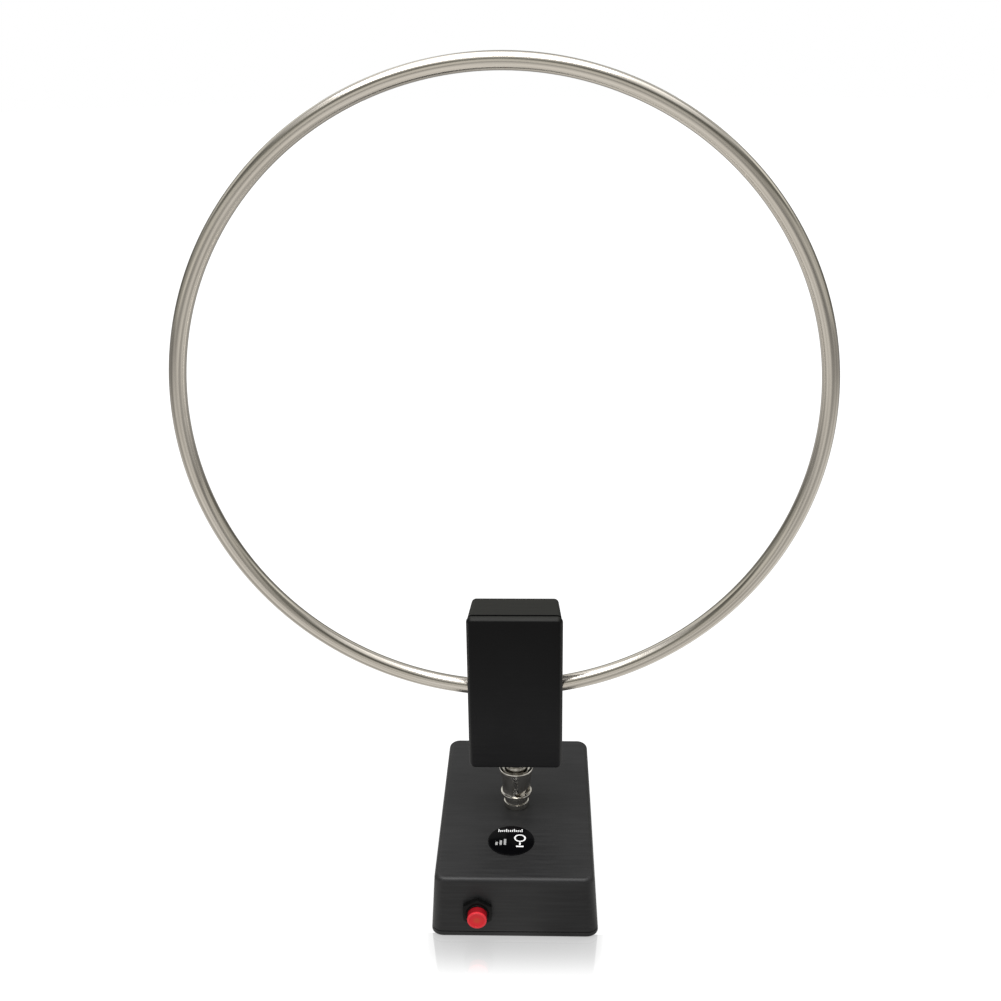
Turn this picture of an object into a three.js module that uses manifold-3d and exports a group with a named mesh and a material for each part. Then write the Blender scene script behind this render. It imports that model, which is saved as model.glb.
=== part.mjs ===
// An indoor loop aerial. A steel loop stands in a slim amplifier head, the head plugs into a flat
// battery base through a bayonet connector, and a push button on the base switches it on.
// Millimetres, +Z up, front towards -Y. The origin is the centre of the base's underside.

import * as THREE from 'three';
import { mergeVertices } from 'three/addons/utils/BufferGeometryUtils.js';
import Module from 'manifold-3d';

const wasm = await Module();
wasm.setup();

// ---------------------------------------------------------------- driving dimensions

const SEAT = 0.1; // gap between pieces that rest on each other
const SEAM = 0.3; // parting line between two moulded shells
const FAR = 400; // longer than the object, for cutting tools that pass right through

const BASE = {
  width: 63, // at the top
  flare: 1.9, // how far each side leans out from the top down to the floor
  depth: 100,
  height: 28,
  wall: 2,
  corner: 4.5,
  fillet: 2,
  cover: 2.5,
  coverFillet: 1.2,
  lip: 2,
  postInset: 5.6,
  postWidth: 7.6,
};

const HEAD = {
  width: 38.5,
  height: 70,
  depth: 18.5,
  bottom: 52,
  wall: 1.8,
  corner: 2.5,
  fillet: 1.6,
  seam: 6, // the parting line's distance in front of the loop's plane
  lip: 1.8,
  rearInset: 0.5, // the rear shell is this much smaller than the front cover all round
  postInset: 4.9,
  postRadius: 2.7,
};

const LOOP = {
  diameter: 250,
  tube: 6.5,
  wall: 0.9,
  centre: 207.1, // height of the loop's centre above the floor, before it leans
  lean: THREE.MathUtils.degToRad(1.9), // the loop leans to the left about its lowest point
  halfGap: 6, // from the middle of the head to each tube end
  bolt: 9.5, // from the middle of the head to each clamping bolt
};

// The bayonet connector, measured from the panel face that the jack is mounted on.
const JACK = {
  flange: 5.8,
  flangeTop: 3,
  barrel: 4.85,
  bore: 4.05,
  mouth: 15,
  tail: 11,
  thread: 4.75,
  panelHole: 4.95,
  studHeight: 10,
  studRadius: 1,
  studTip: 5.55,
};

const COUPLING = {
  mouth: 5.6,
  bore: 4.95,
  rim: 6.6,
  rimHeight: 1.8,
  waist: 5.9,
  waistTop: 11.5, // from here the sleeve widens towards its grip
  grip: 7.15,
  gripBottom: 17.1,
  gripTop: 19.1,
  turn: THREE.MathUtils.degToRad(80), // from locked to free
  rise: 2.2, // how far the plug climbs over that turn
  slot: 1.3, // half the slot's width
};

// The push switch, measured from the base's front face.
const SWITCH = {
  x: -14.6,
  z: 13,
  nut: 11.3,
  nutHeight: 2.2,
  barrel: 4.5,
  barrelFront: 2.6,
  bore: 4,
  body: 12.6,
  bodyBack: -16,
  cap: 3.85,
  capFront: 6,
  travel: 2,
};

const OUTPUT = { x: 14, z: 14 };
const BOARD = { left: -20.5, right: 4.5, front: 21, back: 47, bottom: 8.1, thickness: 1.6 };
const USB = { x: -11, width: 8.9, height: 3.2, length: 7.3 };
const LED = { x: -2, radius: 1.5 };
const CELL = { width: 34, length: 50, height: 8, bottom: 3.6, y: -8 };
const BADGE = { x: -1.7, y: -25.5, radius: 9.5, height: 0.7 };

// ---------------------------------------------------------------- materials

function finish(color, roughness, metalness) {
  return new THREE.MeshStandardMaterial({ color, roughness, metalness });
}

const ABS = finish(0x1f1f20, 0.55, 0);
const SWITCH_PLASTIC = finish(0x141414, 0.4, 0);
const RED_PLASTIC = finish(0xc4202e, 0.35, 0);
const STAINLESS = finish(0xb4aca0, 0.2, 1);
const NICKEL = finish(0xb9b3a8, 0.18, 1);
const GOLD = finish(0xc9a44a, 0.25, 1);
const BRASS = finish(0xb5924c, 0.3, 1);
const SPRING_STEEL = finish(0x8c8c8e, 0.35, 1);
const BLACK_SCREW = finish(0x2a2a2c, 0.4, 0.8);
const PTFE = finish(0xe9e7e0, 0.5, 0);
const SILICONE = finish(0x8a2f22, 0.7, 0);
const BADGE_RESIN = finish(0x08080a, 0.1, 0);
const LAMINATE = finish(0x17452c, 0.45, 0);
const CHIP = finish(0x1a1a1b, 0.5, 0);
const FERRITE = finish(0x3a3a3c, 0.7, 0);
const CELL_WRAP = finish(0x9ba3ab, 0.3, 0.6);
const FOAM = finish(0x2d2d2d, 0.95, 0);
const LENS = finish(0x8ad49a, 0.2, 0);
const COAX = finish(0x5d3d26, 0.5, 0);
const RED_WIRE = finish(0xb3261e, 0.5, 0);
const BLACK_WIRE = finish(0x1b1b1b, 0.5, 0);
const WHITE_WIRE = finish(0xd8d6d0, 0.5, 0);

// ---------------------------------------------------------------- solids, cuts and joins

function solid(geometry) {
  const bare = geometry.clone();
  bare.deleteAttribute('normal');
  bare.deleteAttribute('uv');
  const merged = mergeVertices(bare, 1e-4);
  return new wasm.Manifold(
    new wasm.Mesh({
      numProp: 3,
      vertProperties: merged.attributes.position.array,
      triVerts: new Uint32Array(merged.index.array),
    }),
  );
}

function geometryOf(body) {
  const mesh = body.getMesh();
  const geometry = new THREE.BufferGeometry();
  geometry.setAttribute('position', new THREE.BufferAttribute(mesh.vertProperties, 3));
  geometry.setIndex(new THREE.BufferAttribute(mesh.triVerts, 1));
  geometry.computeVertexNormals();
  return geometry;
}

function cut(geometry, tools) {
  return geometryOf(tools.reduce((body, tool) => body.subtract(solid(tool)), solid(geometry)));
}

function join(geometries) {
  return geometryOf(geometries.map(solid).reduce((body, other) => body.add(other)));
}

// ---------------------------------------------------------------- shapes

// A solid of revolution about Z. The profile holds [radius, height] pairs, counter-clockwise, and
// it either starts and ends on the axis or closes on itself.
function turned(profile, sides = 20) {
  const points = profile.map(([radius, height]) => new THREE.Vector2(radius, height));
  if (points[0].x > 0) {
    points.push(points[0].clone());
  }
  return new THREE.LatheGeometry(points, sides).rotateX(Math.PI / 2);
}

function rod(radius, bottom, top, sides) {
  return turned([[0, bottom], [radius, bottom], [radius, top], [0, top]], sides);
}

function ring(inner, outer, bottom, top, sides) {
  return turned([[inner, bottom], [outer, bottom], [outer, top], [inner, top]], sides);
}

function roundedRectangle(width, depth, corner) {
  const x = width / 2 - corner;
  const y = depth / 2 - corner;
  const quarter = Math.PI / 2;
  const shape = new THREE.Shape();
  shape.moveTo(x + corner, -y);
  shape.absarc(x, y, corner, 0, quarter);
  shape.absarc(-x, y, corner, quarter, 2 * quarter);
  shape.absarc(-x, -y, corner, 2 * quarter, 3 * quarter);
  shape.absarc(x, -y, corner, 3 * quarter, 4 * quarter);
  return shape;
}

// An upright block with rounded corners, centred on Z; a fillet rounds its top and bottom edges.
function block(width, depth, bottom, top, corner, fillet = 0, curveSegments = 1) {
  return new THREE.ExtrudeGeometry(roundedRectangle(width, depth, corner), {
    depth: top - bottom - 2 * fillet,
    curveSegments,
    bevelEnabled: fillet > 0,
    bevelThickness: fillet,
    bevelSize: fillet,
    bevelOffset: -fillet,
    bevelSegments: 2,
  }).translate(0, 0, bottom + fillet);
}

function box(width, depth, bottom, top) {
  return new THREE.BoxGeometry(width, depth, top - bottom).translate(0, 0, (bottom + top) / 2);
}

function polygonPath(radius, sides) {
  return Array.from({ length: sides }, (_, i) => {
    const angle = (2 * Math.PI * i) / sides;
    return new THREE.Vector2(radius * Math.cos(angle), radius * Math.sin(angle));
  });
}

function hexNut(acrossFlats, bore, bottom, top) {
  const hexagon = new THREE.Shape(polygonPath(acrossFlats / Math.sqrt(3), 6));
  hexagon.holes.push(new THREE.Path(polygonPath(bore, 16)));
  const geometry = new THREE.ExtrudeGeometry(hexagon, { depth: top - bottom, bevelEnabled: false });
  return geometry.translate(0, 0, bottom);
}

// A round wire through a few points.
function wire(radius, points, steps = 10) {
  const path = new THREE.CatmullRomCurve3(points.map((point) => new THREE.Vector3(...point)));
  const section = new THREE.Shape(polygonPath(radius, 6));
  return new THREE.ExtrudeGeometry(section, { steps, extrudePath: path });
}

// A countersunk screw that points up from a face at height 0, with a cross recess.
function countersunkScrew(headRadius, shaftRadius, length) {
  const headHeight = headRadius - shaftRadius;
  const body = turned([
    [0, 0],
    [headRadius, 0],
    [headRadius, 0.2],
    [shaftRadius, headHeight + 0.2],
    [shaftRadius, length - shaftRadius],
    [0, length],
  ], 10);
  return cut(body, crossRecess(headRadius));
}

// A pan-head screw whose head stands below height 0 and whose shaft points up.
function panScrew(headRadius, headHeight, shaftRadius, length) {
  const body = turned([
    [0, -headHeight],
    [headRadius * 0.7, -headHeight],
    [headRadius, -headHeight * 0.6],
    [headRadius, 0],
    [shaftRadius, 0],
    [shaftRadius, length],
    [0, length],
  ], 10);
  return cut(body, crossRecess(headRadius, -headHeight));
}

function crossRecess(headRadius, face = 0) {
  const depth = 0.9;
  const long = headRadius * 1.1;
  const narrow = headRadius * 0.22;
  return [box(long, narrow, face - 1, face + depth), box(narrow, long, face - 1, face + depth)];
}

// Copies of a tool at the four corners of a rectangle.
function atCorners(x, y, make) {
  return [[-x, -y], [x, -y], [-x, y], [x, y]].map(([dx, dy]) => make().translate(dx, dy, 0));
}

function piece(name, geometry, material) {
  const mesh = new THREE.Mesh(geometry, material);
  mesh.name = name;
  return mesh;
}

function group(pieces, x = 0, y = 0, z = 0, turnAboutX = 0) {
  const holder = new THREE.Group();
  holder.add(...pieces);
  holder.position.set(x, y, z);
  holder.rotation.x = turnAboutX;
  return holder;
}

const TO_FRONT = Math.PI / 2; // a frame whose +Z looks out of the front and whose +Y is up
const TO_BACK = -Math.PI / 2; // a frame whose +Z looks out of the back

// ---------------------------------------------------------------- base case

const postX = BASE.width / 2 - BASE.postInset;
const postY = BASE.depth / 2 - BASE.postInset;
const screwHead = 2.8;
const screwShaft = 1.25;

// Leans the two sides of an upright block outwards towards the floor.
function flared(geometry) {
  const position = geometry.getAttribute('position');
  for (let i = 0; i < position.count; i += 1) {
    const x = position.getX(i);
    const lean = BASE.flare * (1 - position.getZ(i) / BASE.height);
    position.setX(i, x + Math.sign(x) * lean);
  }
  return geometry;
}

function baseShell() {
  const { width, depth, height, wall, corner, fillet, cover } = BASE;
  const roof = height - wall;
  const outer = flared(block(width, depth, -height, height, corner, fillet, 2));
  const hollow = block(width - 2 * wall, depth - 2 * wall, -FAR, roof, corner - wall);
  const below = box(FAR, FAR, -FAR, cover + SEAM);
  const posts = atCorners(postX, postY, () =>
    box(BASE.postWidth, BASE.postWidth, 0, roof + 1));
  const pilots = atCorners(postX, postY, () => rod(screwShaft + 0.2, 0, 15, 8));
  const jackHole = rod(JACK.panelHole, roof - 1, height + 1);
  const switchHole = rod(SWITCH.barrel + SEAT, -wall - 1, 1).rotateX(TO_FRONT);
  switchHole.translate(SWITCH.x, -depth / 2, SWITCH.z);
  const outputHole = rod(JACK.panelHole, -wall - 1, 1).rotateX(TO_BACK);
  outputHole.translate(OUTPUT.x, depth / 2, OUTPUT.z);
  const usbHole = block(USB.width + 0.6, USB.height + 0.6, -wall - 1, 1, 1.7).rotateX(TO_BACK);
  usbHole.translate(USB.x, depth / 2, usbHeight);
  const ledHole = rod(LED.radius + SEAT, -wall - 1, 1, 12).rotateX(TO_BACK);
  ledHole.translate(LED.x, depth / 2, usbHeight);
  const shell = join([cut(outer, [hollow]), ...posts]);
  return cut(shell, [below, ...pilots, jackHole, switchHole, outputHole, usbHole, ledHole]);
}

const boardTop = BOARD.bottom + BOARD.thickness;
const usbHeight = boardTop + SEAT + USB.height / 2;
const boardX = (BOARD.left + BOARD.right) / 2;
const boardY = (BOARD.front + BOARD.back) / 2;
const boardPostX = (BOARD.right - BOARD.left) / 2 - 3;
const boardPostY = (BOARD.back - BOARD.front) / 2 - 4.5;
const stakeRadius = 0.9;

function baseCover() {
  const { width, depth, wall, corner, cover, coverFillet, lip } = BASE;
  const plate = cut(flared(block(width, depth, 0, 4 * cover, corner, coverFillet, 2)), [
    box(FAR, FAR, cover, FAR),
  ]);
  const lipWidth = width - 2 * wall - 2 * SEAM;
  const lipDepth = depth - 2 * wall - 2 * SEAM;
  const postRoom = BASE.postWidth + 2 * SEAM;
  const rim = cut(block(lipWidth, lipDepth, cover - 0.5, cover + lip, corner - wall), [
    block(lipWidth - 3, lipDepth - 3, 0, FAR, 1),
    ...atCorners(postX, postY, () => box(postRoom, postRoom, cover, FAR)),
  ]);
  const boardPosts = atCorners(boardPostX, boardPostY, () =>
    turned([
      [0, cover - 0.5],
      [2.2, cover - 0.5],
      [2.2, BOARD.bottom - SEAT],
      [stakeRadius, BOARD.bottom - SEAT],
      [stakeRadius, boardTop + 0.6],
      [0, boardTop + 0.6],
    ], 8).translate(boardX, boardY, 0));
  const screwHoles = atCorners(postX, postY, () =>
    turned([
      [0, -1],
      [screwHead + 1.35, -1],
      [screwShaft + 0.35, screwHead - screwShaft + 0.35],
      [screwShaft + 0.35, FAR],
      [0, FAR],
    ], 10));
  return cut(join([plate, rim, ...boardPosts]), screwHoles);
}

function baseCase() {
  const pieces = [
    piece('base_shell', baseShell(), ABS),
    piece('base_cover', baseCover(), ABS),
    piece('badge', badge(), BADGE_RESIN),
  ];
  const corners = [[-1, -1], [1, -1], [-1, 1], [1, 1]];
  corners.forEach(([side, end], i) => {
    const screw = piece(`base_screw_${i + 1}`, countersunkScrew(screwHead, screwShaft, 13), BLACK_SCREW);
    screw.position.set(side * postX, end * postY, SEAT);
    pieces.push(screw);
  });
  return group(pieces);
}

function badge() {
  const { x, y, radius, height } = BADGE;
  const dome = [[0, 0], [radius, 0], [radius, height * 0.55], [radius - 0.9, height * 0.85], [0, height]];
  return turned(dome, 28).translate(x, y, BASE.height);
}

// ---------------------------------------------------------------- bayonet jack, +Z out of its panel

const jackInner = 3; // bore of the threaded tail
const jackCore = 2.35; // the insulator's nose inside the barrel
const contactRadius = 1.05;
const panelNutTop = -BASE.wall - 0.8;

function jackShell() {
  const body = turned([
    [jackInner, -JACK.tail],
    [JACK.thread, -JACK.tail],
    [JACK.thread, SEAT],
    [JACK.flange, SEAT],
    [JACK.flange, JACK.flangeTop - 0.3],
    [JACK.flange - 0.3, JACK.flangeTop],
    [JACK.barrel, JACK.flangeTop],
    [JACK.barrel, JACK.mouth - 0.4],
    [JACK.barrel - 0.3, JACK.mouth],
    [JACK.bore, JACK.mouth],
    [JACK.bore, 5.5],
    [jackInner, 5.5],
  ]);
  const stud = () => rod(JACK.studRadius, JACK.bore + 0.35, JACK.studTip, 12).rotateY(Math.PI / 2);
  const right = stud().translate(0, 0, JACK.studHeight);
  const left = stud().rotateZ(Math.PI).translate(0, 0, JACK.studHeight);
  return join([body, right, left]);
}

function jackInsulator() {
  const bore = contactRadius + SEAT;
  return turned([
    [bore, -JACK.tail + 0.3],
    [jackInner - SEAT, -JACK.tail + 0.3],
    [jackInner - SEAT, 5.5],
    [jackCore, 5.5],
    [jackCore, 13.6],
    [bore, 13.6],
  ], 16);
}

function jackContact() {
  return turned([
    [0, -JACK.tail - 2.2],
    [0.9, -JACK.tail - 2.2],
    [0.9, -JACK.tail],
    [contactRadius, -JACK.tail],
    [contactRadius, 13.4],
    [0.8, 13.4],
    [0.8, 7.2],
    [0, 7.2],
  ], 16);
}

function jack(name, x, y, z, turnAboutX) {
  const washer = ring(JACK.panelHole, 7.4, panelNutTop + SEAT, -BASE.wall - SEAT, 16);
  const nut = hexNut(12.7, JACK.panelHole, panelNutTop - 2.4, panelNutTop);
  return group([
    piece(`${name}_shell`, jackShell(), NICKEL),
    piece(`${name}_insulator`, jackInsulator(), PTFE),
    piece(`${name}_contact`, jackContact(), GOLD),
    piece(`${name}_washer`, washer, NICKEL),
    piece(`${name}_nut`, nut, NICKEL),
  ], x, y, z, turnAboutX);
}

// ---------------------------------------------------------------- bayonet plug, same frame as its jack

const plugSleeve = 3.95;
const plugBore = 2.6;
const plugNeck = 4.7;
const plugFlange = 5.85;
const sleeveBottom = 6.6;
const flangeBottom = 16.3;
const flangeTop = 17.3;
const headFloor = HEAD.bottom - BASE.height;
const threadTop = headFloor + 6;
const headShoulder = headFloor + HEAD.rearInset - SEAT; // clamps against the head's underside
const shoulderBottom = headShoulder - 1.3;

function plugBody() {
  return turned([
    [plugBore, sleeveBottom],
    [plugSleeve - 0.2, sleeveBottom],
    [plugSleeve, sleeveBottom + 0.4],
    [plugSleeve, flangeBottom],
    [plugFlange, flangeBottom],
    [plugFlange, flangeTop],
    [plugNeck, flangeTop],
    [plugNeck, shoulderBottom],
    [5.5, shoulderBottom],
    [5.5, headShoulder],
    [4.4, headShoulder],
    [4.4, threadTop],
    [plugBore, threadTop],
  ]);
}

function plugPin() {
  return turned([
    [0, 8.2],
    [0.3, 8.2],
    [0.65, 9.2],
    [0.65, threadTop + 2],
    [0, threadTop + 2],
  ], 12);
}

// The studs' path in the nut: from the locked pocket down the cam to the straight entry slot.
function studPath() {
  const steps = 8;
  const path = Array.from({ length: steps + 1 }, (_, i) => [
    -COUPLING.turn * (i / steps),
    JACK.studHeight - COUPLING.rise * (i / steps),
  ]);
  const entry = [1.2, 2.4].map((drop) => [-COUPLING.turn, JACK.studHeight - COUPLING.rise - drop]);
  return [...path, ...entry];
}

function couplingNut() {
  const { mouth, bore, rim, rimHeight, waist, waistTop, grip, gripBottom, gripTop, slot } = COUPLING;
  const chamber = plugFlange + 0.25;
  const shoulder = flangeBottom - 0.7;
  const lipBottom = gripTop - 1.1;
  const slotReach = waist + 0.3; // through the waist, but only a groove inside the rim
  const body = turned([
    [bore, mouth],
    [rim - 0.4, mouth],
    [rim, mouth + 0.4],
    [rim, mouth + rimHeight - 0.4],
    [rim - 0.4, mouth + rimHeight],
    [waist, mouth + rimHeight],
    [waist, waistTop],
    [grip - 0.6, gripBottom - 1.7],
    [grip, gripBottom],
    [grip, gripTop - 0.4],
    [grip - 0.4, gripTop],
    [chamber, gripTop],
    [chamber - 0.3, gripTop - 0.5],
    [bore, gripTop - 0.5],
    [bore, lipBottom],
    [chamber, lipBottom],
    [chamber, shoulder],
    [bore, shoulder],
  ]);
  const tools = [0, Math.PI].flatMap((stud) =>
    studPath().map(([angle, height]) =>
      rod(slot, bore - 1, slotReach, 8).rotateY(Math.PI / 2).rotateZ(stud + angle).translate(0, 0, height)));
  return cut(body, tools);
}

function plug() {
  const lipBottom = COUPLING.gripTop - 1.1;
  const insulator = ring(0.75, plugBore - SEAT, 14, threadTop + 0.5, 16);
  const gasket = ring(plugSleeve + SEAT, 4.8, JACK.mouth + SEAT, flangeBottom - SEAT);
  const springWasher = ring(plugNeck + 0.15, plugFlange, flangeTop + SEAT, lipBottom - SEAT);
  const nut = hexNut(12, 4.5, headFloor + HEAD.wall + SEAT, headFloor + HEAD.wall + 2.4);
  const lead = wire(0.6, [
    [0, 0, threadTop + 2.6],
    [0.2, 0.3, threadTop + 4],
    [2, 1.8, threadTop + 7],
    [2.4, 2.2, threadTop + 10],
  ], 8);
  return group([
    piece('plug_body', plugBody(), NICKEL),
    piece('plug_insulator', insulator, PTFE),
    piece('plug_pin', plugPin(), GOLD),
    piece('plug_gasket', gasket, SILICONE),
    piece('spring_washer', springWasher, SPRING_STEEL),
    piece('coupling_nut', couplingNut(), NICKEL),
    piece('plug_nut', nut, NICKEL),
    piece('plug_lead', lead, WHITE_WIRE),
  ], 0, 0, BASE.height);
}

// ---------------------------------------------------------------- push switch, +Z out of the front

// The square body sits behind the panel and the threaded barrel passes through it.
function switchHousing() {
  const { barrel, barrelFront, bore, body, bodyBack } = SWITCH;
  const bodyFront = -BASE.wall - SEAT;
  const neck = rod(barrel, bodyFront - 1, barrelFront);
  const terminalSlots = [-1, 1].map((side) =>
    box(0.9, 2.4, bodyBack - 1, bodyBack + 2).translate(side * terminalX, 0, 0));
  return cut(join([neck, block(body, body, bodyBack, bodyFront, 1)]), [
    rod(bore, bodyBack + 1, barrelFront + 1),
    ...terminalSlots,
  ]);
}

const terminalX = 1.6;
const plungerRadius = 1.5;
const springTop = -8.4;
const plungerEnd = -12;

class Helix extends THREE.Curve {
  constructor(radius, bottom, top, turns) {
    super();
    Object.assign(this, { radius, bottom, top, turns });
  }

  getPoint(t, target = new THREE.Vector3()) {
    const angle = 2 * Math.PI * this.turns * t;
    const height = this.bottom + (this.top - this.bottom) * t;
    return target.set(this.radius * Math.cos(angle), this.radius * Math.sin(angle), height);
  }
}

function switchSpring() {
  const wireRadius = 0.25;
  const path = new Helix(3, SWITCH.bodyBack + 1.4, springTop - 0.4, 4);
  const section = new THREE.Shape(polygonPath(wireRadius, 4));
  return new THREE.ExtrudeGeometry(section, { steps: 36, extrudePath: path });
}

function switchPlunger() {
  return turned([
    [0, plungerEnd],
    [plungerRadius, plungerEnd],
    [plungerRadius, springTop],
    [3.7, springTop],
    [3.7, springTop + 0.9],
    [plungerRadius, springTop + 0.9],
    [plungerRadius, 3.2],
    [0, 3.2],
  ], 16);
}

function buttonCap() {
  const { cap, capFront } = SWITCH;
  return turned([
    [plungerRadius + SEAT, -1.5],
    [cap, -1.5],
    [cap, capFront - 0.5],
    [cap - 0.5, capFront],
    [0, capFront],
    [0, 3.4],
    [plungerRadius + SEAT, 3.4],
  ]);
}

function pushSwitch() {
  const { x, z, bodyBack } = SWITCH;
  const nut = hexNut(SWITCH.nut, SWITCH.barrel + SEAT, SEAT, SWITCH.nutHeight);
  const bridge = rod(2.3, plungerEnd - 0.5, plungerEnd - SEAT, 16);
  const terminal = () => box(0.5, 2, bodyBack - 4, plungerEnd - 0.6 - SWITCH.travel);
  return group([
    piece('switch_housing', switchHousing(), SWITCH_PLASTIC),
    piece('switch_nut', nut.rotateZ(Math.PI / 6), SWITCH_PLASTIC),
    piece('switch_spring', switchSpring(), SPRING_STEEL),
    piece('switch_plunger', switchPlunger(), SWITCH_PLASTIC),
    piece('switch_contact_bridge', bridge, BRASS),
    piece('switch_terminal_left', terminal().translate(-terminalX, 0, 0), BRASS),
    piece('switch_terminal_right', terminal().translate(terminalX, 0, 0), BRASS),
    piece('button_cap', buttonCap(), RED_PLASTIC),
  ], x, -BASE.depth / 2, z, TO_FRONT);
}

// ---------------------------------------------------------------- battery, charger and leads

function chargerBoard() {
  const width = BOARD.right - BOARD.left;
  const depth = BOARD.back - BOARD.front;
  const holes = atCorners(boardPostX, boardPostY, () => rod(stakeRadius + 0.2, 0, FAR, 8));
  return cut(block(width, depth, BOARD.bottom, boardTop, 1), holes).translate(boardX, boardY, 0);
}

// A reversible charging socket that opens towards +Z, with its tongue inside.
function usbSocket() {
  const { width, height, length } = USB;
  const shell = cut(block(width, height, -length, 0, 1.55), [
    block(width - 0.6, height - 0.6, -length + 1, 1, 1.25),
  ]);
  return join([shell, box(6.7, 0.7, -length + 0.5, -0.8)]);
}

function chargeLed() {
  const { radius } = LED;
  return turned([
    [0, -6],
    [radius + 0.2, -6],
    [radius + 0.2, -5.2],
    [radius, -5.2],
    [radius, -0.9],
    [radius * 0.7, -0.3],
    [0, 0],
  ], 12);
}

function power() {
  const { width, length, height, bottom, y } = CELL;
  const cell = block(width, length, bottom, bottom + height, 3, 2).translate(0, y, 0);
  const pad = box(width - 6, length - 6, BASE.cover + SEAT, bottom - SEAT).translate(0, y, 0);
  const chip = block(5, 4, boardTop + SEAT, boardTop + 1.5, 0.3).translate(boardX, boardY, 0);
  const cellEnd = y + length / 2;
  const onBoard = boardTop + 0.9;
  const batteryLead = (x) =>
    wire(0.6, [
      [x, cellEnd + 0.4, 8],
      [x, cellEnd + 1.8, 9],
      [x, cellEnd + 3.4, onBoard + 1],
      [x, cellEnd + 6.5, onBoard],
    ], 10);
  const switchLead = (side) =>
    wire(0.6, [
      [SWITCH.x + side * terminalX, -BASE.depth / 2 - SWITCH.bodyBack + 4.5, SWITCH.z],
      [SWITCH.x + side * terminalX, -20, 13.4],
      [SWITCH.x + 2 + side * terminalX, 0, 13],
      [SWITCH.x + 2 + side * terminalX, 16, 13],
      [SWITCH.x + 2 + side * terminalX, BOARD.front + 2.5, onBoard],
    ]);
  const antennaLead = wire(0.9, [
    [0, 0, BASE.height - JACK.tail - 2.7],
    [0.2, 0.5, 13.5],
    [0, 3, 12.9],
    [-1, 10, 13],
    [-2, 18, 12.8],
    [-3, BOARD.front + 4, onBoard + 0.3],
  ]);
  const outputLead = wire(0.9, [
    [OUTPUT.x, BASE.depth / 2 - JACK.tail - 2.7, OUTPUT.z],
    [OUTPUT.x - 0.4, 34.5, OUTPUT.z - 0.4],
    [10, 31, 12.4],
    [6, 29.5, 11.4],
    [3, 29, onBoard + 0.3],
  ], 12);
  const socket = group([piece('usb_socket', usbSocket(), NICKEL)], USB.x, BASE.depth / 2 - 0.2,
    usbHeight, TO_BACK);
  const light = group([piece('charge_led', chargeLed(), LENS)], LED.x, BASE.depth / 2 + 0.4,
    usbHeight, TO_BACK);
  return group([
    piece('battery_cell', cell, CELL_WRAP),
    piece('battery_pad', pad, FOAM),
    piece('battery_lead_positive', batteryLead(-6), RED_WIRE),
    piece('battery_lead_negative', batteryLead(-9), BLACK_WIRE),
    piece('charger_board', chargerBoard(), LAMINATE),
    piece('charger_chip', chip, CHIP),
    piece('antenna_lead', antennaLead, COAX),
    piece('output_lead', outputLead, COAX),
    piece('switch_lead_left', switchLead(-1), BLACK_WIRE),
    piece('switch_lead_right', switchLead(1), RED_WIRE),
    socket,
    light,
  ]);
}

// ---------------------------------------------------------------- head, +Z out of the front, +Y up

const headBack = -HEAD.depth / 2;
const headFront = HEAD.depth / 2;
const headMiddle = HEAD.height / 2;
const headPostX = HEAD.width / 2 - HEAD.postInset;
const headPostY = HEAD.height / 2 - HEAD.postInset;
const headScrewHead = 2.3;
const headScrewShaft = 1.15;
const postMeeting = -2.8; // where the two shells' posts meet, behind the loop's plane
const ampBoard = { width: 32, height: 52, bottom: 8, front: -3.4, thickness: 1.6 };
const ampBack = ampBoard.front - ampBoard.thickness;
const boardScrewHeight = 56;

// The box's outside and its hollow, centred on the head's middle height.
function headBlock(inset = 0) {
  const { width, height, corner, fillet } = HEAD;
  const outside = block(width - 2 * inset, height - 2 * inset, headBack, headFront, corner, fillet, 2);
  return outside.translate(0, headMiddle, 0);
}

function headHollow() {
  const { width, height, wall } = HEAD;
  const hollow = block(width - 2 * wall, height - 2 * wall, headBack + wall, headFront - wall, 0.8);
  return hollow.translate(0, headMiddle, 0);
}

function headPosts(bottom, top, radius) {
  return atCorners(headPostX, headPostY, () => rod(radius, bottom, top, 8)).map((post) =>
    post.translate(0, headMiddle, 0));
}

function headRearShell() {
  const posts = headPosts(headBack + 1, postMeeting, HEAD.postRadius);
  const boardPost = rod(2.6, headBack + 1, ampBack - SEAT, 12).translate(0, boardScrewHeight, 0);
  const inFront = box(FAR, FAR, HEAD.seam - SEAM / 2, FAR);
  const tubeHoles = rod(LOOP.tube / 2 + 0.35, -FAR, FAR, 16).rotateY(Math.PI / 2);
  tubeHoles.translate(0, loopY(HEAD.width / 2 - HEAD.wall / 2), 0);
  leaned(tubeHoles);
  const plugHole = rod(4.7, -3, HEAD.wall + 1).rotateX(-Math.PI / 2);
  const screwHoles = atCorners(headPostX, headPostY, () =>
    turned([
      [0, headBack - 1],
      [headScrewHead + 1.35, headBack - 1],
      [headScrewShaft + 0.35, headBack + headScrewHead - headScrewShaft + 0.35],
      [headScrewShaft + 0.35, 0],
      [0, 0],
    ], 10).translate(0, headMiddle, 0));
  const boardPilot = rod(0.95, ampBack - 2.2, 0, 12).translate(0, boardScrewHeight, 0);
  const shell = cut(headBlock(HEAD.rearInset), [headHollow(), inFront, tubeHoles, plugHole]);
  return cut(join([shell, ...posts, boardPost]), [...screwHoles, boardPilot]);
}

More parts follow.
